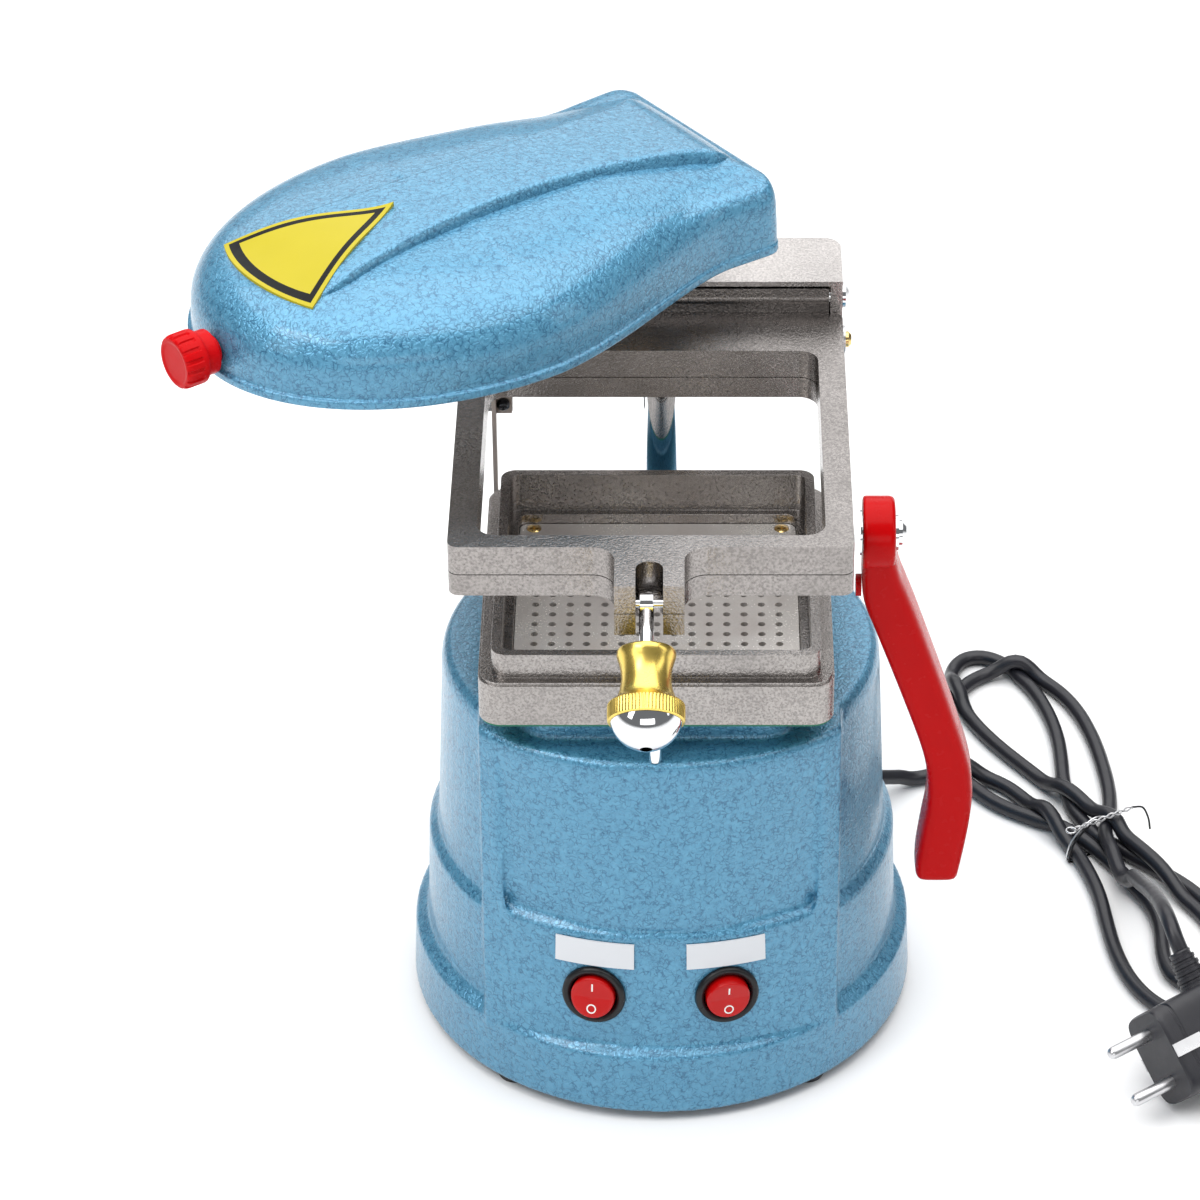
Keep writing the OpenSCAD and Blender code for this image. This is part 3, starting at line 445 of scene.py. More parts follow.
M = {
    "paint": hammer_paint(),
    "frame": cast_nickel("satin_nickel_frames", (0.345, 0.322, 0.309), 0.22, 1.8),
    "block": cast_nickel("satin_nickel_block", (0.56, 0.53, 0.515), 0.30, 1.5),
    "tray": cast_nickel("cast_tray", (0.375, 0.352, 0.338), 0.24, 1.8),
    "plate": cast_nickel("sieve_plate", (0.97, 0.90, 0.86), 0.22, 0.3),
    "chrome": metal("chrome", (0.80, 0.81, 0.82), 0.05, 0.02, 0.0),
    "steel": metal("plain_steel", (0.62, 0.62, 0.63), 0.3, 0.06, 0.05),
    "zinc": metal("zinc_plate", (0.68, 0.69, 0.70), 0.3, 0.08, 0.06),
    "dark": metal("black_oxide", (0.06, 0.06, 0.065), 0.38, 0.06, 0.05),
    "strip": metal("strip_steel", (0.34, 0.29, 0.26), 0.42, 0.08, 0.08),
    "brass": metal("brass", (0.80, 0.58, 0.24), 0.24, 0.06, 0.04),
    "gold": metal("gold_anodised", (0.84, 0.62, 0.15), 0.27, 0.05, 0.03, 2500),
    "bronze": metal("bronze", (0.62, 0.44, 0.22), 0.42, 0.06, 0.12),
    "alloy": metal("cast_alloy", (0.6, 0.6, 0.61), 0.42, 0.06, 0.15),
    "reflector": metal("reflector", (0.34, 0.34, 0.35), 0.30, 0.04, 0.02),
    "cover": plastic("cover_paint", (0.10, 0.105, 0.115), 0.5, 0.0, 0.25, 1800, Metallic=0.3),
    "lever": plastic("lever_red", (0.45, 0.001, 0.002), 0.24, 0.0, 0.02, 600, 0.06, Specular_IOR_Level=0.10),
    "knob": plastic("knob_red", (0.52, 0.003, 0.005), 0.34, 0.0, 0.04, 900, 0.08, Specular_IOR_Level=0.08),
    "rocker": plastic("rocker_red", (0.48, 0.003, 0.003), 0.18, 0.05, 0.02, 800, 0.10, Specular_IOR_Level=0.25),
    "black_gloss": plastic("switch_black", (0.010, 0.010, 0.011), 0.30, 0.0, 0.03, 1500, 0.2, Specular_IOR_Level=0.3),
    "rubber": plastic("rubber_black", (0.014, 0.014, 0.015), 0.62, 0.0, 0.25, 1500, 0.25),
    "cord": plastic("cord_black", (0.013, 0.013, 0.018), 0.36, 0.0, 0.08, 900, 0.25),
    "plug": plastic("plug_black", (0.016, 0.016, 0.021), 0.40, 0.0, 0.22, 2600, 0.25),
    "pipe": plastic("pipe_black", (0.03, 0.03, 0.032), 0.5, 0.0, 0.1, 1500, 0.2),
    "gasket": plastic("gasket_green", (0.004, 0.16, 0.09), 0.55, 0.0, 0.15, 1500, 0.2),
    "label": plastic("label_white", (0.66, 0.68, 0.71), 0.42, 0.0, 0.02, 700, 0.03),
    "ceramic": plastic("ceramic", (0.30, 0.285, 0.26), 0.75, 0.0, 0.3, 1200, 0.06),
    "terminal": plastic("terminal", (0.75, 0.73, 0.66), 0.5, 0.0, 0.1, 900, 0.05),
    "yellow": plastic("sticker_yellow", (0.47, 0.39, 0.014), 0.36, 0.0, 0.02, 600, 0.03, Specular_IOR_Level=0.2),
    "black_ink": plastic("sticker_black", (0.006, 0.006, 0.006), 0.36, 0.0, 0.02, 600, 0.1, Specular_IOR_Level=0.12),
    "white_ink": plastic("mark_white", (0.85, 0.84, 0.82), 0.35, 0.0, 0.02, 600, 0.03),
}

M["plate"].node_tree.nodes["Principled BSDF"].inputs["Metallic"].default_value = 0.65


def paint(o, key):
    o.data.materials.clear()
    o.data.materials.append(M[key])
    return o


def node_mat(key, *nodes):
    for n in nodes:
        me = N[n].data
        for i in range(max(1, len(me.materials))):
            if i < len(me.materials):
                me.materials[i] = M[key]
            else:
                me.materials.append(M[key])


node_mat("cover", "bottom_cover", "motor_bracket")
node_mat("zinc", "cover_screws", "foot_screws", "foot_nuts", "column_nut", "pivot_screw")
node_mat("rubber", "rubber_feet")
node_mat("gasket", "tray_gasket")
node_mat("plate", "perforated_plate")
node_mat("brass", "plate_screws", "side_screw")
node_mat("chrome", "column", "front_rest_stud", "swing_bolt", "lever_stud", "lever_screw", "hinge_screws", "bolt_pin")
node_mat("pipe", "suction_pipe")
node_mat("terminal", "terminal_block")
node_mat("steel", "motor_can", "motor_shaft", "heating_coil", "side_washer")
node_mat("alloy", "impeller", "impeller_housing")
node_mat("reflector", "reflector_pan")
node_mat("bronze", "slide_bush", "pivot_bush")
node_mat("dark", "frame_screws", "guide_screw")
node_mat("strip", "guide_strip")
node_mat("ceramic", "ceramic_plate")
node_mat("label", "label_left", "label_right")
node_mat("steel", "wire_tie", "earth_strips")
node_mat("lever", "lever_peg")
paint(cord, "cord")
for n in ("column", "front_rest_stud", "swing_bolt", "lever_stud", "rubber_feet"):
    pass

# ---------------------------------------------------------------- castings
base = paint(cast("base_housing", "base_shell", 0.9, 4), "paint")
# the sides of the front recess run out softly above the ledge
soft = base.vertex_groups.new(name="soft")
co_ = np.empty(len(base.data.vertices) * 3)
base.data.vertices.foreach_get("co", co_)
co_ = co_.reshape(-1, 3)
mw_ = np.array(base.matrix_world)
co_ = (co_ @ mw_[:3, :3].T + mw_[:3, 3]) / MM
ax_w = np.clip((np.abs(co_[:, 0]) - 45) / 4, 0, 1) * np.clip((61 - np.abs(co_[:, 0])) / 4, 0, 1)
az_w = np.clip((co_[:, 2] - 82.5) / 3, 0, 1) * np.clip((124 - co_[:, 2]) / 8, 0, 1) * (co_[:, 1] < -30)
wt_ = np.round(ax_w * az_w, 1)
for lv_w in np.unique(wt_):
    if lv_w > 0:
        soft.add([int(q) for q in np.nonzero(wt_ == lv_w)[0]], float(lv_w), "REPLACE")
sm_ = base.modifiers.new("run_out", "SMOOTH")
sm_.factor = 0.5
sm_.iterations = 90
sm_.vertex_group = "soft"
bake(base)
for p_ in base.data.polygons:
    p_.use_smooth = True
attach(base, "base")
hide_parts("base_housing")

for node, body, key, w, sl in (("vacuum_tray", "base", "tray", 0.8, "tray_casting"), ("slide_block", "carriage", "block", 0.7, "frame_casting"),
                               ("lower_frame", "carriage", "frame", 0.4, "frame_casting"), ("upper_frame", "upper_frame", "frame", 0.4, "frame_casting")):
    o = paint(rounded(node, node + "_casting", w), key)
    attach(o, body)
    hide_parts(node)

# blank labels, a hair proud of the paint
for s, side in ((-1, "left"), (1, "right")):
    lv_, lq_ = [], []
    n = 24
    for j, (r, z) in enumerate([(108.2, 64.5), (108.72, 64.62), (108.32, 69.85), (107.92, 75.08), (107.4, 75.2)]):
        for i in range(n + 1):
            k = (-1 + 2 * i / n) * (0.99 if j in (1, 2, 3) else 1.0)
            a = rad(s * 12.8) + k * 14.8 / 108.2
            lv_.append((r * math.sin(a), 30 - r * math.cos(a), z))
    lq_ = [(j * (n + 1) + i, j * (n + 1) + i + 1, (j + 1) * (n + 1) + i + 1, (j + 1) * (n + 1) + i) for j in range(4) for i in range(n)]
    lb_ = paint(mesh_obj("name_label_" + side, lv_, lq_, 40), "label")
    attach(lb_, "base")
    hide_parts("label_" + side)

# ---------------------------------------------------------------- heater dome
HA, HZ, HW, TIP, HC, CY = 53.0, 276.5, 73.0, 195.0, 98.0, 105.0
hm = Matrix.Translation((0, CY, 0)) @ Matrix.Rotation(rad(270 - HA), 4, "Z")


def smo(u):
    v = np.clip(u, 0, 1)
    return v * v * (3 - 2 * v)


def cen(s):
    return 0.0 * s


def lobe_w(s, o):
    e = 0.65 + 0.35 * np.sqrt(np.maximum(0, 1 - (np.maximum(0, -8 - s) / (12 - 0.12 * o)) ** 4))
    return (51 - 0.05 * s - 0.5 * o) * e


def half(s, o):
    s = np.asarray(s, float)
    tip = (HW - o) * np.sqrt(np.maximum(0, 1 - (np.maximum(0, s - HC) / (TIP - HC - o)) ** 2.0))
    ell = HW * np.sqrt(np.maximum(0, 1 - (np.maximum(0, HC - s) / 104) ** 1.55)) - o
    lb = lobe_w(s, o)
    k = 22.0
    h = np.maximum(0, k - np.abs(ell - lb)) / k
    both = np.maximum(ell, lb) + h * h * k / 4
    return np.where(s > HC, tip, both)


def zf(s):
    return 0.82 + 0.18 * smo((s + 10) / 60)


PROF = [(2.3, 0.35), (1.4, 0.02), (0.5, 0.06), (0.1, 0.4), (0, 1.0), (0, 2.4), (0.12, 2.95), (0.5, 3.3), (1.1, 3.55), (1.4, 4.1), (1.4, 7), (1.5, 10), (1.65, 13),
        (2.2, 16.2), (3.2, 19), (4.7, 21.7), (6.5, 24), (8.8, 26.1), (11.5, 27.8), (14.2, 29.05), (17, 30), (20, 30.9), (23, 31.6), (28, 32.6), (34, 33.6),
        (40, 34.4), (46, 35), (52, 35.45), (58, 35.8), (62, 35.95), (66, 36.05), (70, 36.1)]
pr = spline(PROF, 4)
po = np.interp(np.linspace(0, 1, 400), np.linspace(0, 1, len(pr)), pr[:, 0])
pz = np.interp(np.linspace(0, 1, 400), np.linspace(0, 1, len(pr)), pr[:, 1])
top_i = int(np.argmin(np.abs(pr[:, 0])))


LOBE_O = [0, 1.4, 2.0, 2.8, 4.2, 6.2, 9, 13, 20, 30, 45, 75]
LOBE_Z = [0, 4.1, 15.5, 19.3, 22.2, 24.2, 25.6, 26.5, 27.3, 28.0, 28.6, 29]


def z_at(o, s, z, wall=0.0):
    q = 1 - smo((s - 4) / 40)
    lz = np.interp(o, LOBE_O, LOBE_Z) - wall
    full_z = 4 + (z - 4) * zf(s)
    return np.where(z > 4.3, full_z * (1 - q) + np.maximum(full_z, np.minimum(lz, z * 1.6)) * q, z)


def half_line(o, m):
    """points from the middle of the rear end round to the tip at one inset"""
    a0, a1 = -20 + 0.2 * o, TIP - o
    i = np.linspace(0, 1, 700)
    s = a0 + (a1 - a0) * (1 - np.cos(math.pi * i)) / 2
    t = half(s, o)
    line = np.vstack([[a0, 0.0], np.stack([s[1:], t[1:]], 1)])
    line[-1, 1] = 0
    return even_n(line, m)


def even_n(p, m):
    d = np.r_[0, np.cumsum(np.linalg.norm(np.diff(p, axis=0), axis=1))]
    t = np.linspace(0, d[-1], m + 1)
    return np.stack([np.interp(t, d, p[:, k]) for k in range(p.shape[1])], 1)


def ring(o, z, m, wall=0.0):
    h = half_line(o, m)
    up = [(s, t + cen(s), HZ + float(z_at(o, s, z, wall))) for s, t in h]
    dn = [(s, -t + cen(s), HZ + float(z_at(o, s, z, wall))) for s, t in h[-2:0:-1]]
    return up + dn


def stack(rings, cap=True):
    n = len(rings[0])
    v = [p for r in rings for p in r]
    f = []
    for j in range(len(rings) - 1):
        for i in range(n):
            f.append((j * n + i, j * n + (i + 1) % n, (j + 1) * n + (i + 1) % n, (j + 1) * n + i))
    if cap:
        k = (len(rings) - 1) * n
        m = n // 2
        f.append((k, k + 1, k + n - 1))
        for i in range(1, m - 1):
            f.append((k + i, k + i + 1, k + n - i - 1, k + n - i))
        f.append((k + m - 1, k + m, k + m + 1))
    return v, f


MR = 150
outer = [ring(o, z, MR) for o, z in spline(PROF, 2)]
INNER = [(2.45, 1.0), (2.5, 3), (2.7, 5), (3.2, 9), (3.8, 13), (5.4, 18), (8.7, 22.4), (13.6, 25.6), (19, 27.4), (23, 28.4), (34, 30.2), (46, 31.6), (58, 32.4), (70, 32.7)]
inner = [ring(o, z, MR, 3.2) for o, z in INNER]
vo, fo = stack(outer)
vi, fi = stack(inner)
n_r = 2 * MR
lip = [(i, (i + 1) % n_r, len(vo) + (i + 1) % n_r, len(vo) + i) for i in range(n_r)]
dome_v = vo + vi
dome_f = fo + [tuple(k + len(vo) for k in f) for f in fi] + lip


def rr(s):
    return 15 + 8 * ((s - 75) / 80) ** 2 + 4 * smo((6 - s) / 20)


def rz(s):
    return 40.4 - 6.5 * ((s - 82) / 90) ** 2 - 3.5 * smo((s - 150) / 20) - 9.5 * np.maximum(0, (-2 - s) / 18) ** 1.6


EDGE = [(3.3, -8), (2.6, -5.2), (2.0, -3.0), (1.55, -1.7), (1.15, -0.95), (0.65, -0.42), (0.05, -0.12), (-0.6, -0.02), (-1.4, 0.02)]
# raised band along the dome, with a soft edge
ss = np.r_[-19.2, -18.6, -17.6, -16.2, -14.4, np.linspace(-12, 168, 93), 171, 174]
drop = np.r_[9, 4.2, 1.9, 0.7, 0.2, np.zeros(93), 1.0, 3.0]
band = []
for s, dz in zip(ss, drop):
    r, zt, c = rr(s), HZ + rz(s) - dz, float(cen(s))
    r -= 6.5 * float(smo((-4 - s) / 15))
    if s > 150:
        r = r * (1 - 0.25 * ((s - 150) / 24) ** 2)
    half_s = [(r + a, zt + b) for a, b in EDGE]
    half_s += [((r - 1.4) * (1 - k / 6), zt + 0.02 + 0.3 * (1 - (1 - k / 6) ** 2)) for k in range(1, 6)]
    row = [(s, c - a, z) for a, z in half_s] + [(s, c, zt + 0.34)] + [(s, c + a, z) for a, z in half_s[::-1]]
    band.append(row)
nb = len(band[0])
bv = [p for r in band for p in r]
bf = [(j * nb + i, j * nb + i + 1, (j + 1) * nb + i + 1, (j + 1) * nb + i) for j in range(len(band) - 1) for i in range(nb - 1)]
bf.append(tuple(range(nb)))
bf.append(tuple((len(band) - 1) * nb + i for i in range(nb - 1, -1, -1)))
dv, df = join_lists([(dome_v, dome_f), (bv, bf)])
skin_tree = BVHTree.FromPolygons([tuple(map(float, q)) for q in dv], [tuple(map(int, f)) for f in df])
dome = paint(mesh_obj("heater_dome", moved(dv, hm), df, 50), "paint")
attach(dome, "heater")
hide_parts("heater_cover")


def top_z(s, t):
    hit = skin_tree.ray_cast(Vector((float(s), float(t), HZ + 80)), Vector((0, 0, -1)))[0]
    return hit.z


AX, AY, SR, SA = 116.0, -1.7, 60.5, rad(28)


def sector(w, n_side=56, n_arc=70):
    """outline of the sticker's sector shape, inset by w"""
    r = SR - w - 1.3 * min(1.0, max(0.0, (w - 1.6) / 2.2))
    ax = AX + w / math.sin(SA)
    b = SA - math.asin(w / r) if w > 0 else SA
    p1 = (AX + r * math.cos(-b), AY + r * math.sin(-b))
    p2 = (AX + r * math.cos(b), AY + r * math.sin(b))
    pts = [(ax + (p1[0] - ax) * i / n_side, AY + (p1[1] - AY) * i / n_side) for i in range(n_side)]
    pts += [(AX + r * math.cos(-b + 2 * b * i / n_arc), AY + r * math.sin(-b + 2 * b * i / n_arc)) for i in range(n_arc)]
    pts += [(p2[0] + (ax - p2[0]) * i / n_side, p2[1] + (AY - p2[1]) * i / n_side) for i in range(n_side)]
    return pts


def terms(s, t):
    u, v = (s - 145) / 30, t / 30
    return np.stack([u * 0 + 1, u, v, u * u, u * v, v * v, u ** 3, u * u * v, u * v * v, v ** 3, u ** 4, v ** 4], -1)


grid = [(a_, b_) for w_ in (0, 1.5, 3, 5, 7, 9, 11, 13, 15, 16.8) for a_, b_ in sector(w_)]
gs, gt = np.array([g[0] for g in grid]), np.array([g[1] for g in grid])
gz = np.array([top_z(a_, b_) for a_, b_ in grid])
coef = np.linalg.lstsq(terms(gs, gt), gz - HZ, rcond=None)[0]
taut = float((gz - HZ - terms(gs, gt) @ coef).max())
print("film stands off by", round(taut, 2))


def film_z(s, t):
    return HZ + float(terms(np.array(s), np.array(t)) @ coef) + taut


def on_dome(rows, lift, name, key, full=False):
    """rows of (s, t) outlines from outside in, laid on the dome"""
    v, f = [], []
    for row in rows:
        v += [(s, t, film_z(s, t) + lift) for s, t in row]
    n = len(rows[0])
    for j in range(len(rows) - 1):
        for i in range(n):
            f.append((j * n + i, j * n + (i + 1) % n, (j + 1) * n + (i + 1) % n, (j + 1) * n + i))
    if full:
        mid_ = np.mean(np.array(rows[-1]), 0)
        v.append((mid_[0], mid_[1], film_z(mid_[0], mid_[1]) + lift))
        f += [((len(rows) - 1) * n + i, (len(rows) - 1) * n + (i + 1) % n, len(rows) * n) for i in range(n)]
    k = len(v)
    v += [(a, b, (top_z(a, b) - 0.2) if full is None else c - 0.3) for a, b, c in v[:n]]
    f += [(i, (i + 1) % n, k + (i + 1) % n, k + i) for i in range(n)]
    o = paint(mesh_obj(name, moved(v, hm), f, 60), key)
    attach(o, "heater")
    return o


st = on_dome([sector(w) for w in (1.6, 1.1, 0.5, 0)][::-1], 0.2, "sticker_film", "yellow", None)
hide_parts("heater_sticker")
on_dome([sector(w) for w in (1.6, 2.2, 2.8, 3.4, 3.8)], 0.2, "sticker_border", "black_ink")
on_dome([sector(w) for w in (3.8, 4.5, 5.2, 6, 7, 8, 9, 10, 11, 12, 13, 14, 15, 16, 16.8)], 0.2, "sticker_field", "yellow", True)

# ribbed knob of the heater
KX = TIP - 1.3


def flutes(a, r, z):
    if z > 9.7 and r > 9.0:
        u = abs(((a * 16 / math.pi) % 2) - 1)
        g = min(1.0, max(0.0, (u - 0.50) / 0.22))
        return r - 0.55 * g * g * (3 - 2 * g)
    return r


kp = [(0.01, 0), (5, 0), (5, 1.9), (7.6, 1.95), (8.0, 2.2), (8.1, 2.8), (8.1, 5), (8.1, 6.7), (8.05, 7.1), (8.9, 7.2), (9.5, 7.4), (9.8, 7.8), (9.9, 8.3), (9.9, 9.5), (9.9, 10.1),
      (9.9, 12), (9.9, 14.0), (9.85, 14.7), (9.65, 15.4), (9.35, 15.9), (8.9, 16.25), (8.3, 16.4), (7.7, 16.3), (7.2, 16.05), (6.5, 16.0), (3, 15.95), (0.01, 15.95)]
kv, kf = lathe("k", kp, 320, flutes, False)
kM = hm @ Matrix.Translation((KX, 0, HZ + 10)) @ Matrix.Rotation(rad(90), 4, "Y")
knob = paint(mesh_obj("heater_knob_cap", moved(kv, kM), kf, 32), "knob")
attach(knob, "heater")
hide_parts("heater_knob")

# ---------------------------------------------------------------- lever
FX = -2.8
LX, LY, LZ = FX + 70, -37.0, 226.8
left = [(3.9, 10), (3.9, -8), (4.0, -20), (5.4, -27.5), (8.8, -36.8), (17.9, -62.2), (26.2, -86.9), (29, -100), (29.4, -113), (27.8, -125), (26.3, -137.5), (26.0, -144)]
right = [(15.2, 10), (15.2, -3), (17.4, -14), (20.2, -21.8), (24.8, -34.5), (35.2, -65.7), (43.6, -93), (45.5, -103.6), (45.8, -112), (44.8, -124), (42.9, -137.5), (41.8, -144)]
wid = [(10, 20.6), (-8, 21.4), (-40, 20.4), (-90, 19.4), (-125, 20.4), (-144, 19.8)]
pl, pr_ = spline(left, 6), spline(right, 6)
rows = []
for (ax_, az_), (bx_, bz_) in zip(pl, pr_):
    hwid = np.interp(-(az_ + bz_) / 2, [-q[0] for q in wid], [q[1] for q in wid]) / 2
    row = []
    m = 48
    for k in range(m):
        ang = 2 * math.pi * k / m
        ca, sa = math.cos(ang), math.sin(ang)
        ex = 2 / 5.0
        u = 0.5 * math.copysign(abs(ca) ** ex, ca)
        w = hwid * math.copysign(abs(sa) ** ex, sa)
        row.append((LX + (ax_ + bx_) / 2 + (bx_ - ax_) * u, LY + w, LZ + (az_ + bz_) / 2 + (bz_ - az_) * u))
    rows.append(row)
rows = rows[1:]


def shrink(row, k, dz):
    c = np.mean(np.array(row), 0)
    return [tuple(c + (np.array(p) - c) * k + np.array([0, 0, dz])) for p in row]


end = rows[-1]
rows += [shrink(end, 0.985, -0.9), shrink(end, 0.95, -1.7), shrink(end, 0.88, -2.3), shrink(end, 0.78, -2.6), shrink(end, 0.5, -2.7)]
m = len(rows[0])
lv = [p for r in rows for p in r]
lf_ = [(j * m + i, j * m + (i + 1) % m, (j + 1) * m + (i + 1) % m, (j + 1) * m + i) for j in range(len(rows) - 1) for i in range(m)]
lf_.append(tuple((len(rows) - 1) * m + i for i in range(m)))
lf_.append(tuple(range(m - 1, -1, -1)))
bp = [(4.03, 11.3), (11.2, 11.3), (12.0, 11.1), (12.6, 10.6), (12.95, 9.8), (13.05, 8.9), (13.05, 1.4), (12.95, 0.7), (12.6, 0.25), (12.0, 0.0), (4.03, 0.0), (4.03, 11.3)]
bvv, bff = lathe("b", bp, 72, None, False)
bM = Matrix.Translation((LX + 3.9, LY, LZ)) @ Matrix.Rotation(rad(90), 4, "Y")
lvv, lff = join_lists([(lv, lf_), (moved(bvv, bM), bff)])
lever = paint(mesh_obj("lift_lever", lvv, lff, 40), "lever")
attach(lever, "lever")
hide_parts("lever")

# ---------------------------------------------------------------- clamp knob on the swing bolt
TX = FX - 0.4
bolt = Matrix.Translation((TX - 1, -84.2, 228.8)) @ Matrix.Rotation(rad(124), 4, "X")
K0 = 17.4
gp = [(2.72, 0), (9.1, 0), (9.7, 0.2), (10.1, 0.7), (10.2, 1.3), (10.2, 2.0), (10.0, 2.9), (9.5, 4.4), (9.0, 6.2), (8.65, 8.4), (8.58, 10.4), (8.7, 12.4), (9.1, 14.8),
      (9.9, 17.0), (10.9, 18.6), (12.3, 19.5), (12.9, 19.8), (13.2, 20.2), (13.3, 20.7), (13.3, 25.4), (13.2, 25.9), (12.9, 26.2), (12.55, 26.3), (2.72, 26.3), (2.72, 0)]


def knurl(a, r, z):
    if 20.3 < z < 25.8 and r > 12.5:
        return r - 0.16 + 0.16 * math.cos(a * 66)
    return r


gv, gf = lathe("g", gp, 528, knurl, False)
gM = bolt @ Matrix.Translation((0, 0, K0))
grip = paint(mesh_obj("clamp_grip_gold", moved(gv, gM), gf, 32), "gold")
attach(grip, "knob_grip")
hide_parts("clamp_grip")
br = 12.6
bc = 23.4
bpz = [(2.72, 26.4)]
a0_ = math.asin((26.4 - bc) / br)
for i in range(0, 33):
    a = a0_ + (math.acos(2.1 / br) - a0_) * i / 32
    bpz.append((br * math.cos(a), bc + br * math.sin(a)))
bpz += [(2.1, bc + br - 0.8), (2.1, 27.6), (0.02, 27.6)]
bv2, bf2 = lathe("s", bpz, 96, None, False)
ball = paint(mesh_obj("clamp_ball_chrome", moved(bv2, gM), bf2, 40), "chrome")
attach(ball, "knob_ball")
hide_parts("clamp_ball")


# ---------------------------------------------------------------- switches
def switch_matrix(s):
    return (Matrix.Translation((0, 30, 0)) @ Matrix.Rotation(rad(s * 12.8), 4, "Z") @ Matrix.Translation((0, -108.95, 52))
            @ Matrix.Rotation(rad(90 - 4.4), 4, "X"))


for s, side, tilt, body in ((-1, "left", -7, "rocker_left"), (1, "right", 7, "rocker_right")):
    sM = switch_matrix(s)
    zp = [(8.7, -7), (8.7, 0.6), (9.0, 1.25), (9.6, 1.75), (10.4, 2.05), (11.0, 1.95), (11.5, 1.55), (11.75, 1.0), (11.8, 0.5), (11.8, 0.05), (10, 0.0), (10, -22), (8.7, -22), (8.7, -7)]
    zv, zq = lathe("z", zp, 96, None, False)
    blades = [box_list(x - 2.4, x + 2.4, -0.4, 0.4, -30, -21) for x in (-4, 4)]
    floor_v, floor_f = lathe("f", [(0.02, -21.8), (8.8, -21.8)], 96, None, False)
    v, f = join_lists([(zv, zq), (floor_v, floor_f)] + blades)
    bz = paint(mesh_obj("switch_ring_" + side, moved(v, sM), f, 32), "black_gloss")
    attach(bz, "base")
    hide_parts("switch_bezel_" + side)
    # rocker: two lobes of a round button that meet at a shallow valley
    rM = sM @ Matrix.Rotation(rad(tilt), 4, "X")
    rings = []
    n = 96

    def roof(x, y):
        a = abs(y)
        return 3.3 + a * math.tan(rad(7)) - 0.35 * math.exp(-(a / 1.2) ** 2) * 0 - 0.25 * (x / 8.1) ** 2

    levels = [(0.0, -3.0, 0), (0.985, -3.0, 0), (1.0, -2.5, 0), (1.0, 0.0, 0), (1.0, -0.75, 1), (0.985, -0.35, 1), (0.95, -0.08, 1), (0.90, 0.0, 1), (0.8, 0.0, 1), (0.65, 0.0, 1), (0.5, 0.0, 1), (0.35, 0, 1), (0.2, 0, 1), (0.08, 0, 1)]
    rv, rf = [], []
    for k, zz, up in levels:
        for i in range(n):
            a = 2 * math.pi * i / n
            x, y = 8.1 * k * math.cos(a), 8.1 * k * math.sin(a)
            rv.append((x, y, (roof(x, y) + zz) if up else zz))
    for j in range(len(levels) - 1):
        for i in range(n):
            rf.append((j * n + i, j * n + (i + 1) % n, (j + 1) * n + (i + 1) % n, (j + 1) * n + i))
    rf.append(tuple((len(levels) - 1) * n + i for i in range(n)))
    rk = paint(mesh_obj("rocker_cap_" + side, moved(rv, rM), rf, 40), "rocker")
    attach(rk, body)
    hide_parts("rocker_" + side)
    # plain on and off marks
    mk = []
    ys = [2.6 + 3.2 * i / 8 for i in range(9)]
    iv = []
    for y in ys:
        for x in (-0.30, 0.30):
            iv.append((x, y, roof(x, y) + 0.06))
    iff = [(2 * i, 2 * i + 1, 2 * i + 3, 2 * i + 2) for i in range(8)]
    mk.append((iv, iff))
    ov, of_ = [], []
    for i in range(40):
        a = 2 * math.pi * i / 40
        for r in (1.30, 1.80):
            x, y = r * math.cos(a), -4.4 + r * math.sin(a)
            ov.append((x, y, roof(x, y) + 0.06))
    of_ = [(2 * i, 2 * i + 1, (2 * i + 3) % 80, (2 * i + 2) % 80) for i in range(40)]
    mk.append((ov, of_))
    v, f = join_lists(mk)
    mo = paint(mesh_obj("rocker_marks_" + side, moved(v, rM), f, 60), "white_ink")
    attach(mo, body)

# ---------------------------------------------------------------- strain relief and plug
gm = Matrix.Translation((0, 8, 0)) @ Matrix.Rotation(rad(-39), 4, "Z") @ Matrix.Translation((0, 93.3, 17)) @ Matrix.Rotation(rad(-92), 4, "X")
sp_ = [(2.9, -8), (5.98, -8), (5.98, 1.35), (7.1, 1.4), (7.6, 1.8), (7.6, 3.0), (7.2, 3.45), (6.0, 3.6)]
for i in range(7):
    z = 5.2 + 3.1 * i
    r = 5.9 - (z - 4) / 23.4 * 2.3
    sp_ += [(r, z - 0.7), (r, z + 0.75), (r - 0.75, z + 1.0), (r - 0.8, z + 2.0)]
sp_ += [(3.7, 26.6), (3.5, 27.3), (3.05, 27.4), (3.02, 20)]
sv, sf = lathe("sr", sp_, 48, None, False)
sr = paint(mesh_obj("cord_gland", moved(sv, gm), sf, 35), "rubber")
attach(sr, "base")
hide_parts("strain_relief")

pm = Matrix.Translation((183.7, -74.1, 19.6)) @ Matrix.Rotation(rad(216.87), 4, "Z") @ Matrix.Rotation(rad(48), 4, "X")


def super_section(hy, hz, n=56, p=5.0):
    out = []
    for k in range(n):
        a = 2 * math.pi * k / n
        c, s = math.cos(a), math.sin(a)
        out.append((hy * math.copysign(abs(c) ** (2 / p), c), hz * math.copysign(abs(s) ** (2 / p), s)))
    return out


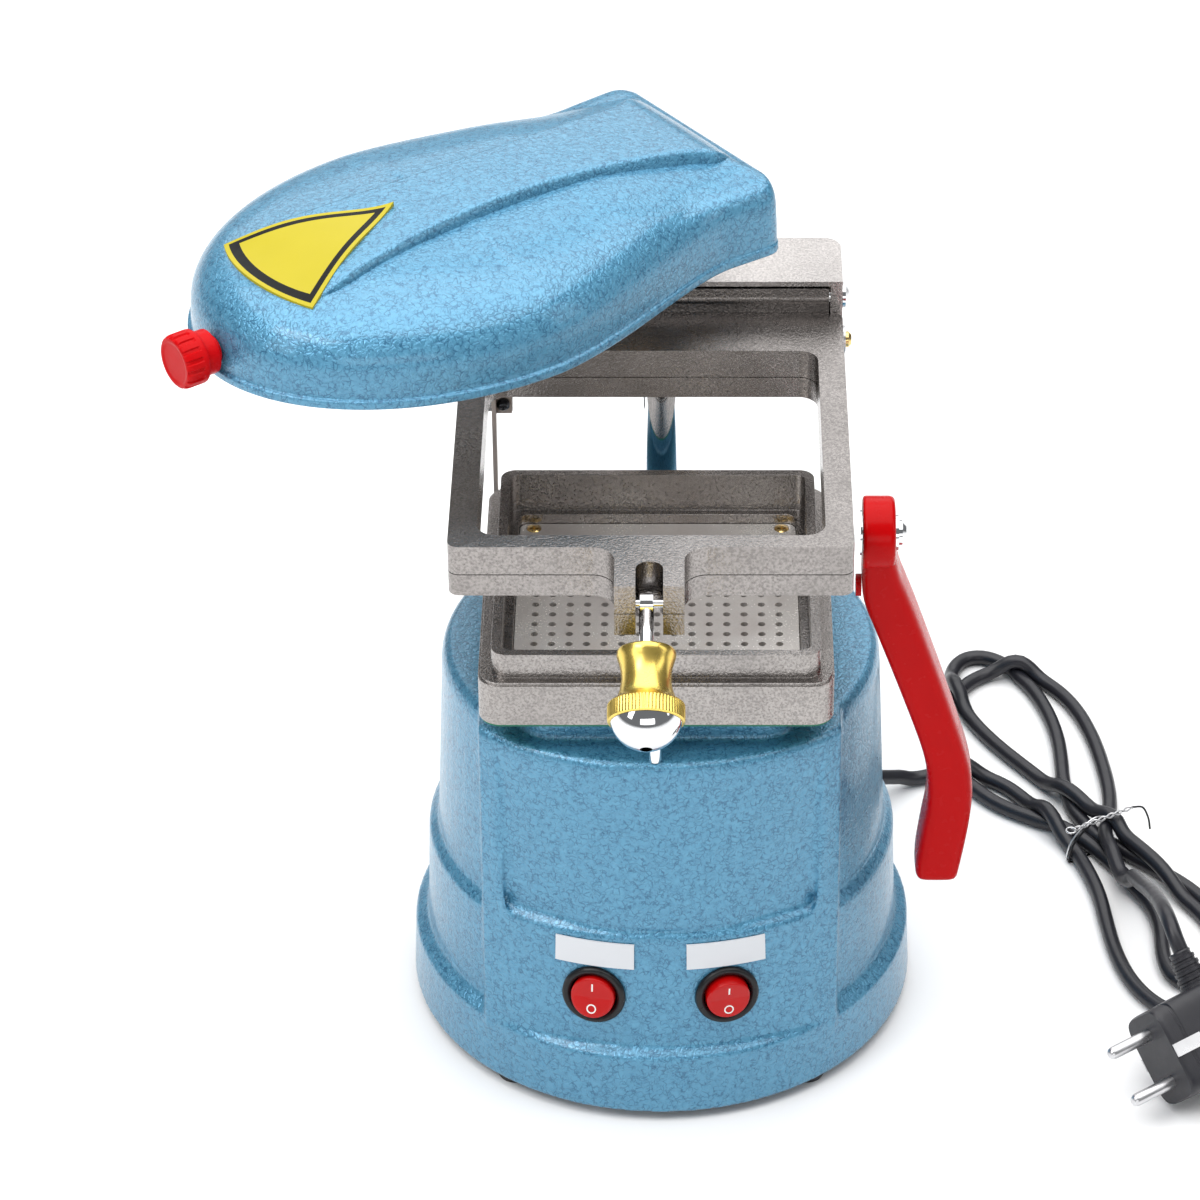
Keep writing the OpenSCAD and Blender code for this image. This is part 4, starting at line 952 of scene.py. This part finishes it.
secs = [(-37.9, 0.80), (-37.6, 0.88), (-37, 0.93), (-36, 0.965), (-34, 0.99), (-30, 1.0), (-14, 1.0), (-8, 0.985), (-7.6, 0.955), (-6.8, 0.955), (-6.4, 0.985), (-3, 0.985), (-1.2, 0.975), (-0.4, 0.955), (0, 0.92)]
pv, pf = [], []
for x, k in secs:
    pv += [(x, y, z) for y, z in super_section(12 * k, 18 * (0.35 + 0.65 * k) if k < 0.95 else 18 * k)]
n = 56
for j in range(len(secs) - 1):
    for i in range(n):
        pf.append((j * n + i, j * n + (i + 1) % n, (j + 1) * n + (i + 1) % n, (j + 1) * n + i))
pf.append(tuple(range(n)))
pf.append(tuple((len(secs) - 1) * n + i for i in range(n - 1, -1, -1)))
rp = [(5.0, -4), (7.2, -1), (6.9, 0.2), (6.7, 1.2)]
for i in range(5):
    z = 2.6 + 2.6 * i
    r = 6.5 - 0.42 * i
    rp += [(r, z - 0.6), (r, z + 0.6), (r - 0.8, z + 0.85), (r - 0.8, z + 1.7)]
rp += [(4.3, 15.4), (4.0, 15.9), (3.05, 16)]
rv_, rf_ = lathe("rp", rp, 48, None, False)
rv_ = [(x - 29, y, z + 16) for x, y, z in rv_]
v, f = join_lists([(pv, pf), (rv_, rf_)])
plug = paint(mesh_obj("plug_shell", moved(v, pm), f, 38), "plug")
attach(plug, "base")
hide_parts("plug_body")
pp = [(0.02, 19), (1.0, 18.9), (1.7, 18.5), (2.2, 17.7), (2.4, 16.8), (2.4, -10.9), (0.02, -10.9)]
qv, qf = lathe("pin", pp, 48, None, False)
both = [([tuple(Matrix.Translation((0, 0, z)) @ Matrix.Rotation(rad(90), 4, "Y") @ Vector(p)) for p in qv], qf) for z in (-9.5, 9.5)]
v, f = join_lists(both)
pins = paint(mesh_obj("plug_contacts", moved(v, pm), f, 40), "steel")
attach(pins, "base")
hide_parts("plug_pins")

# ---------------------------------------------------------------- wire tie round the hank
tie_c = np.array([171.5, 77.5, 0.0])
tdir = np.array([0.83, 0.56, 0.0])
near = route[(np.linalg.norm((route - tie_c)[:, :2] * 1.0, axis=1) < 14)]
loc = [(float((p - tie_c) @ tdir), float(p[2])) for p in near if abs(float((p - tie_c) @ np.array([-0.56, 0.83, 0]))) < 3.0]
us = [u for u, _ in loc]
zs = [z for _, z in loc]
u0, u1, zt = min(us) - R - 0.5, max(us) + R + 0.5, max(zs) + R + 0.5
hull_pts = [(u0, 1.0), (u0 + 0.2, 3.4), (u0 + 2.5, zt * 0.62), ((u0 + u1) / 2 - 3, zt), ((u0 + u1) / 2 + 3, zt), (u1 - 2.5, zt * 0.66), (u1 - 0.1, 3.4), (u1, 1.0)]
loop3 = [tuple(tie_c + tdir * u + np.array([0, 0, z])) for u, z in hull_pts]
under = [tuple(tie_c + tdir * u + np.array([0, 0, 0.35])) for u in (u1 - 2, u1 - 6, u0 + 6, u0 + 2)]
band1 = spline(loop3 + under + [loop3[0]], 6)
shift = np.array([-0.56, 0.83, 0]) * 1.6
t1 = curve_obj("tie_turn_a", band1, 0.42, 3)
t2 = curve_obj("tie_turn_b", band1 + shift + np.array([0, 0, 0.0]), 0.42, 3)
mid_top = np.array(loop3[3])
tw = []
for i in range(60):
    a = i / 59
    base_p = mid_top + np.array([-7, -5, 0.9]) * (1 - a) + np.array([17, 9, 1.6]) * a
    tw.append(base_p + 0.75 * np.array([0, math.cos(a * 22), math.sin(a * 22)]))
t3 = curve_obj("tie_twist_a", tw, 0.4, 3)
tw2 = [p + np.array([0, -1.5 * math.cos(i / 59 * 22), -1.5 * math.sin(i / 59 * 22)]) for i, p in enumerate(tw)]
t4 = curve_obj("tie_twist_b", tw2, 0.4, 3)
eye = [mid_top + np.array([-8.5 + 1.9 * math.cos(a), -6 + 1.9 * math.sin(a), 1.2]) for a in np.linspace(0, 2 * math.pi * 0.96, 20)]
t5 = curve_obj("tie_eye", eye, 0.4, 3)
tend = spline([mid_top + np.array([17, 9, 1.6]), mid_top + np.array([21, 9.5, 1.0]), mid_top + np.array([23, 6, -1.5]), mid_top + np.array([23.5, 2, -4])], 6)
t6 = curve_obj("tie_end", tend, 0.42, 3)
for t_, key in ((t1, "black_gloss"), (t2, "steel"), (t3, "steel"), (t4, "steel"), (t5, "steel"), (t6, "black_gloss")):
    paint(t_, key)
    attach(t_, "base")
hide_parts("wire_tie")

# ---------------------------------------------------------------- floor and light
fv = [(-6, -4, 0), (6, -4, 0), (6, 6, 0), (-6, 6, 0)]
fl = mesh_obj("floor", fv, [(0, 1, 2, 3)], None, 1.0)
fm = mat("floor_pale", Roughness=0.6, Specular_IOR_Level=0.25)
tf = T(fm)
tf.set("Base Color", tf.mix(tf.noise(3, 2), (0.955, 0.955, 0.955), (0.965, 0.965, 0.965)))
fl.data.materials.append(fm)
fl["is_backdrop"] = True

w = bpy.data.worlds.new("studio")
w.use_nodes = True
w.node_tree.nodes["Background"].inputs[0].default_value = (0.95, 0.97, 1.0, 1)
w.node_tree.nodes["Background"].inputs[1].default_value = 0.20
bpy.context.scene.world = w


def area(name, loc, aim, size, power, col=(1, 1, 1)):
    l = bpy.data.lights.new(name, "AREA")
    l.shape = "RECTANGLE"
    l.size, l.size_y = size
    l.energy = power
    l.color = col
    o = link(bpy.data.objects.new(name, l))
    o.location = loc
    o.rotation_euler = (Vector(aim) - Vector(loc)).to_track_quat("-Z", "Y").to_euler()
    return o


area("sky_box", (0.0, 0.35, 2.2), (0.0, 0.35, 0.0), (3.4, 2.8), 83)
area("back_card", (0.0, 2.6, 1.7), (0.0, 0.0, 0.2), (3.0, 1.6), 24)
area("strip_left", (-1.1, -0.9, 1.0), (0, 0, 0.15), (0.45, 1.0), 3.5)
area("strip_right", (1.4, -0.3, 0.9), (0, 0, 0.15), (0.45, 1.0), 2.5)
area("key_left", (-0.80, -0.70, 1.45), (-0.05, 0, 0.25), (0.95, 0.38), 6.5)
area("front_low", (0.15, -1.9, 0.65), (0, 0, 0.08), (1.5, 0.6), 6)

bpy.context.scene.view_settings.view_transform = "Standard"
bpy.context.view_layer.update()
dg_ = bpy.context.evaluated_depsgraph_get()
lo_, hi_ = np.full(3, 1e9), np.full(3, -1e9)
for o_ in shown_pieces():
    e_ = o_.evaluated_get(dg_)
    try:
        me_ = e_.to_mesh()
    except RuntimeError:
        continue
    if me_ is not None and len(me_.vertices):
        c_ = np.empty(len(me_.vertices) * 3)
        me_.vertices.foreach_get("co", c_)
        m_ = np.array(e_.matrix_world)
        c_ = c_.reshape(-1, 3) @ m_[:3, :3].T + m_[:3, 3]
        lo_, hi_ = np.minimum(lo_, c_.min(0)), np.maximum(hi_, c_.max(0))
    e_.to_mesh_clear()
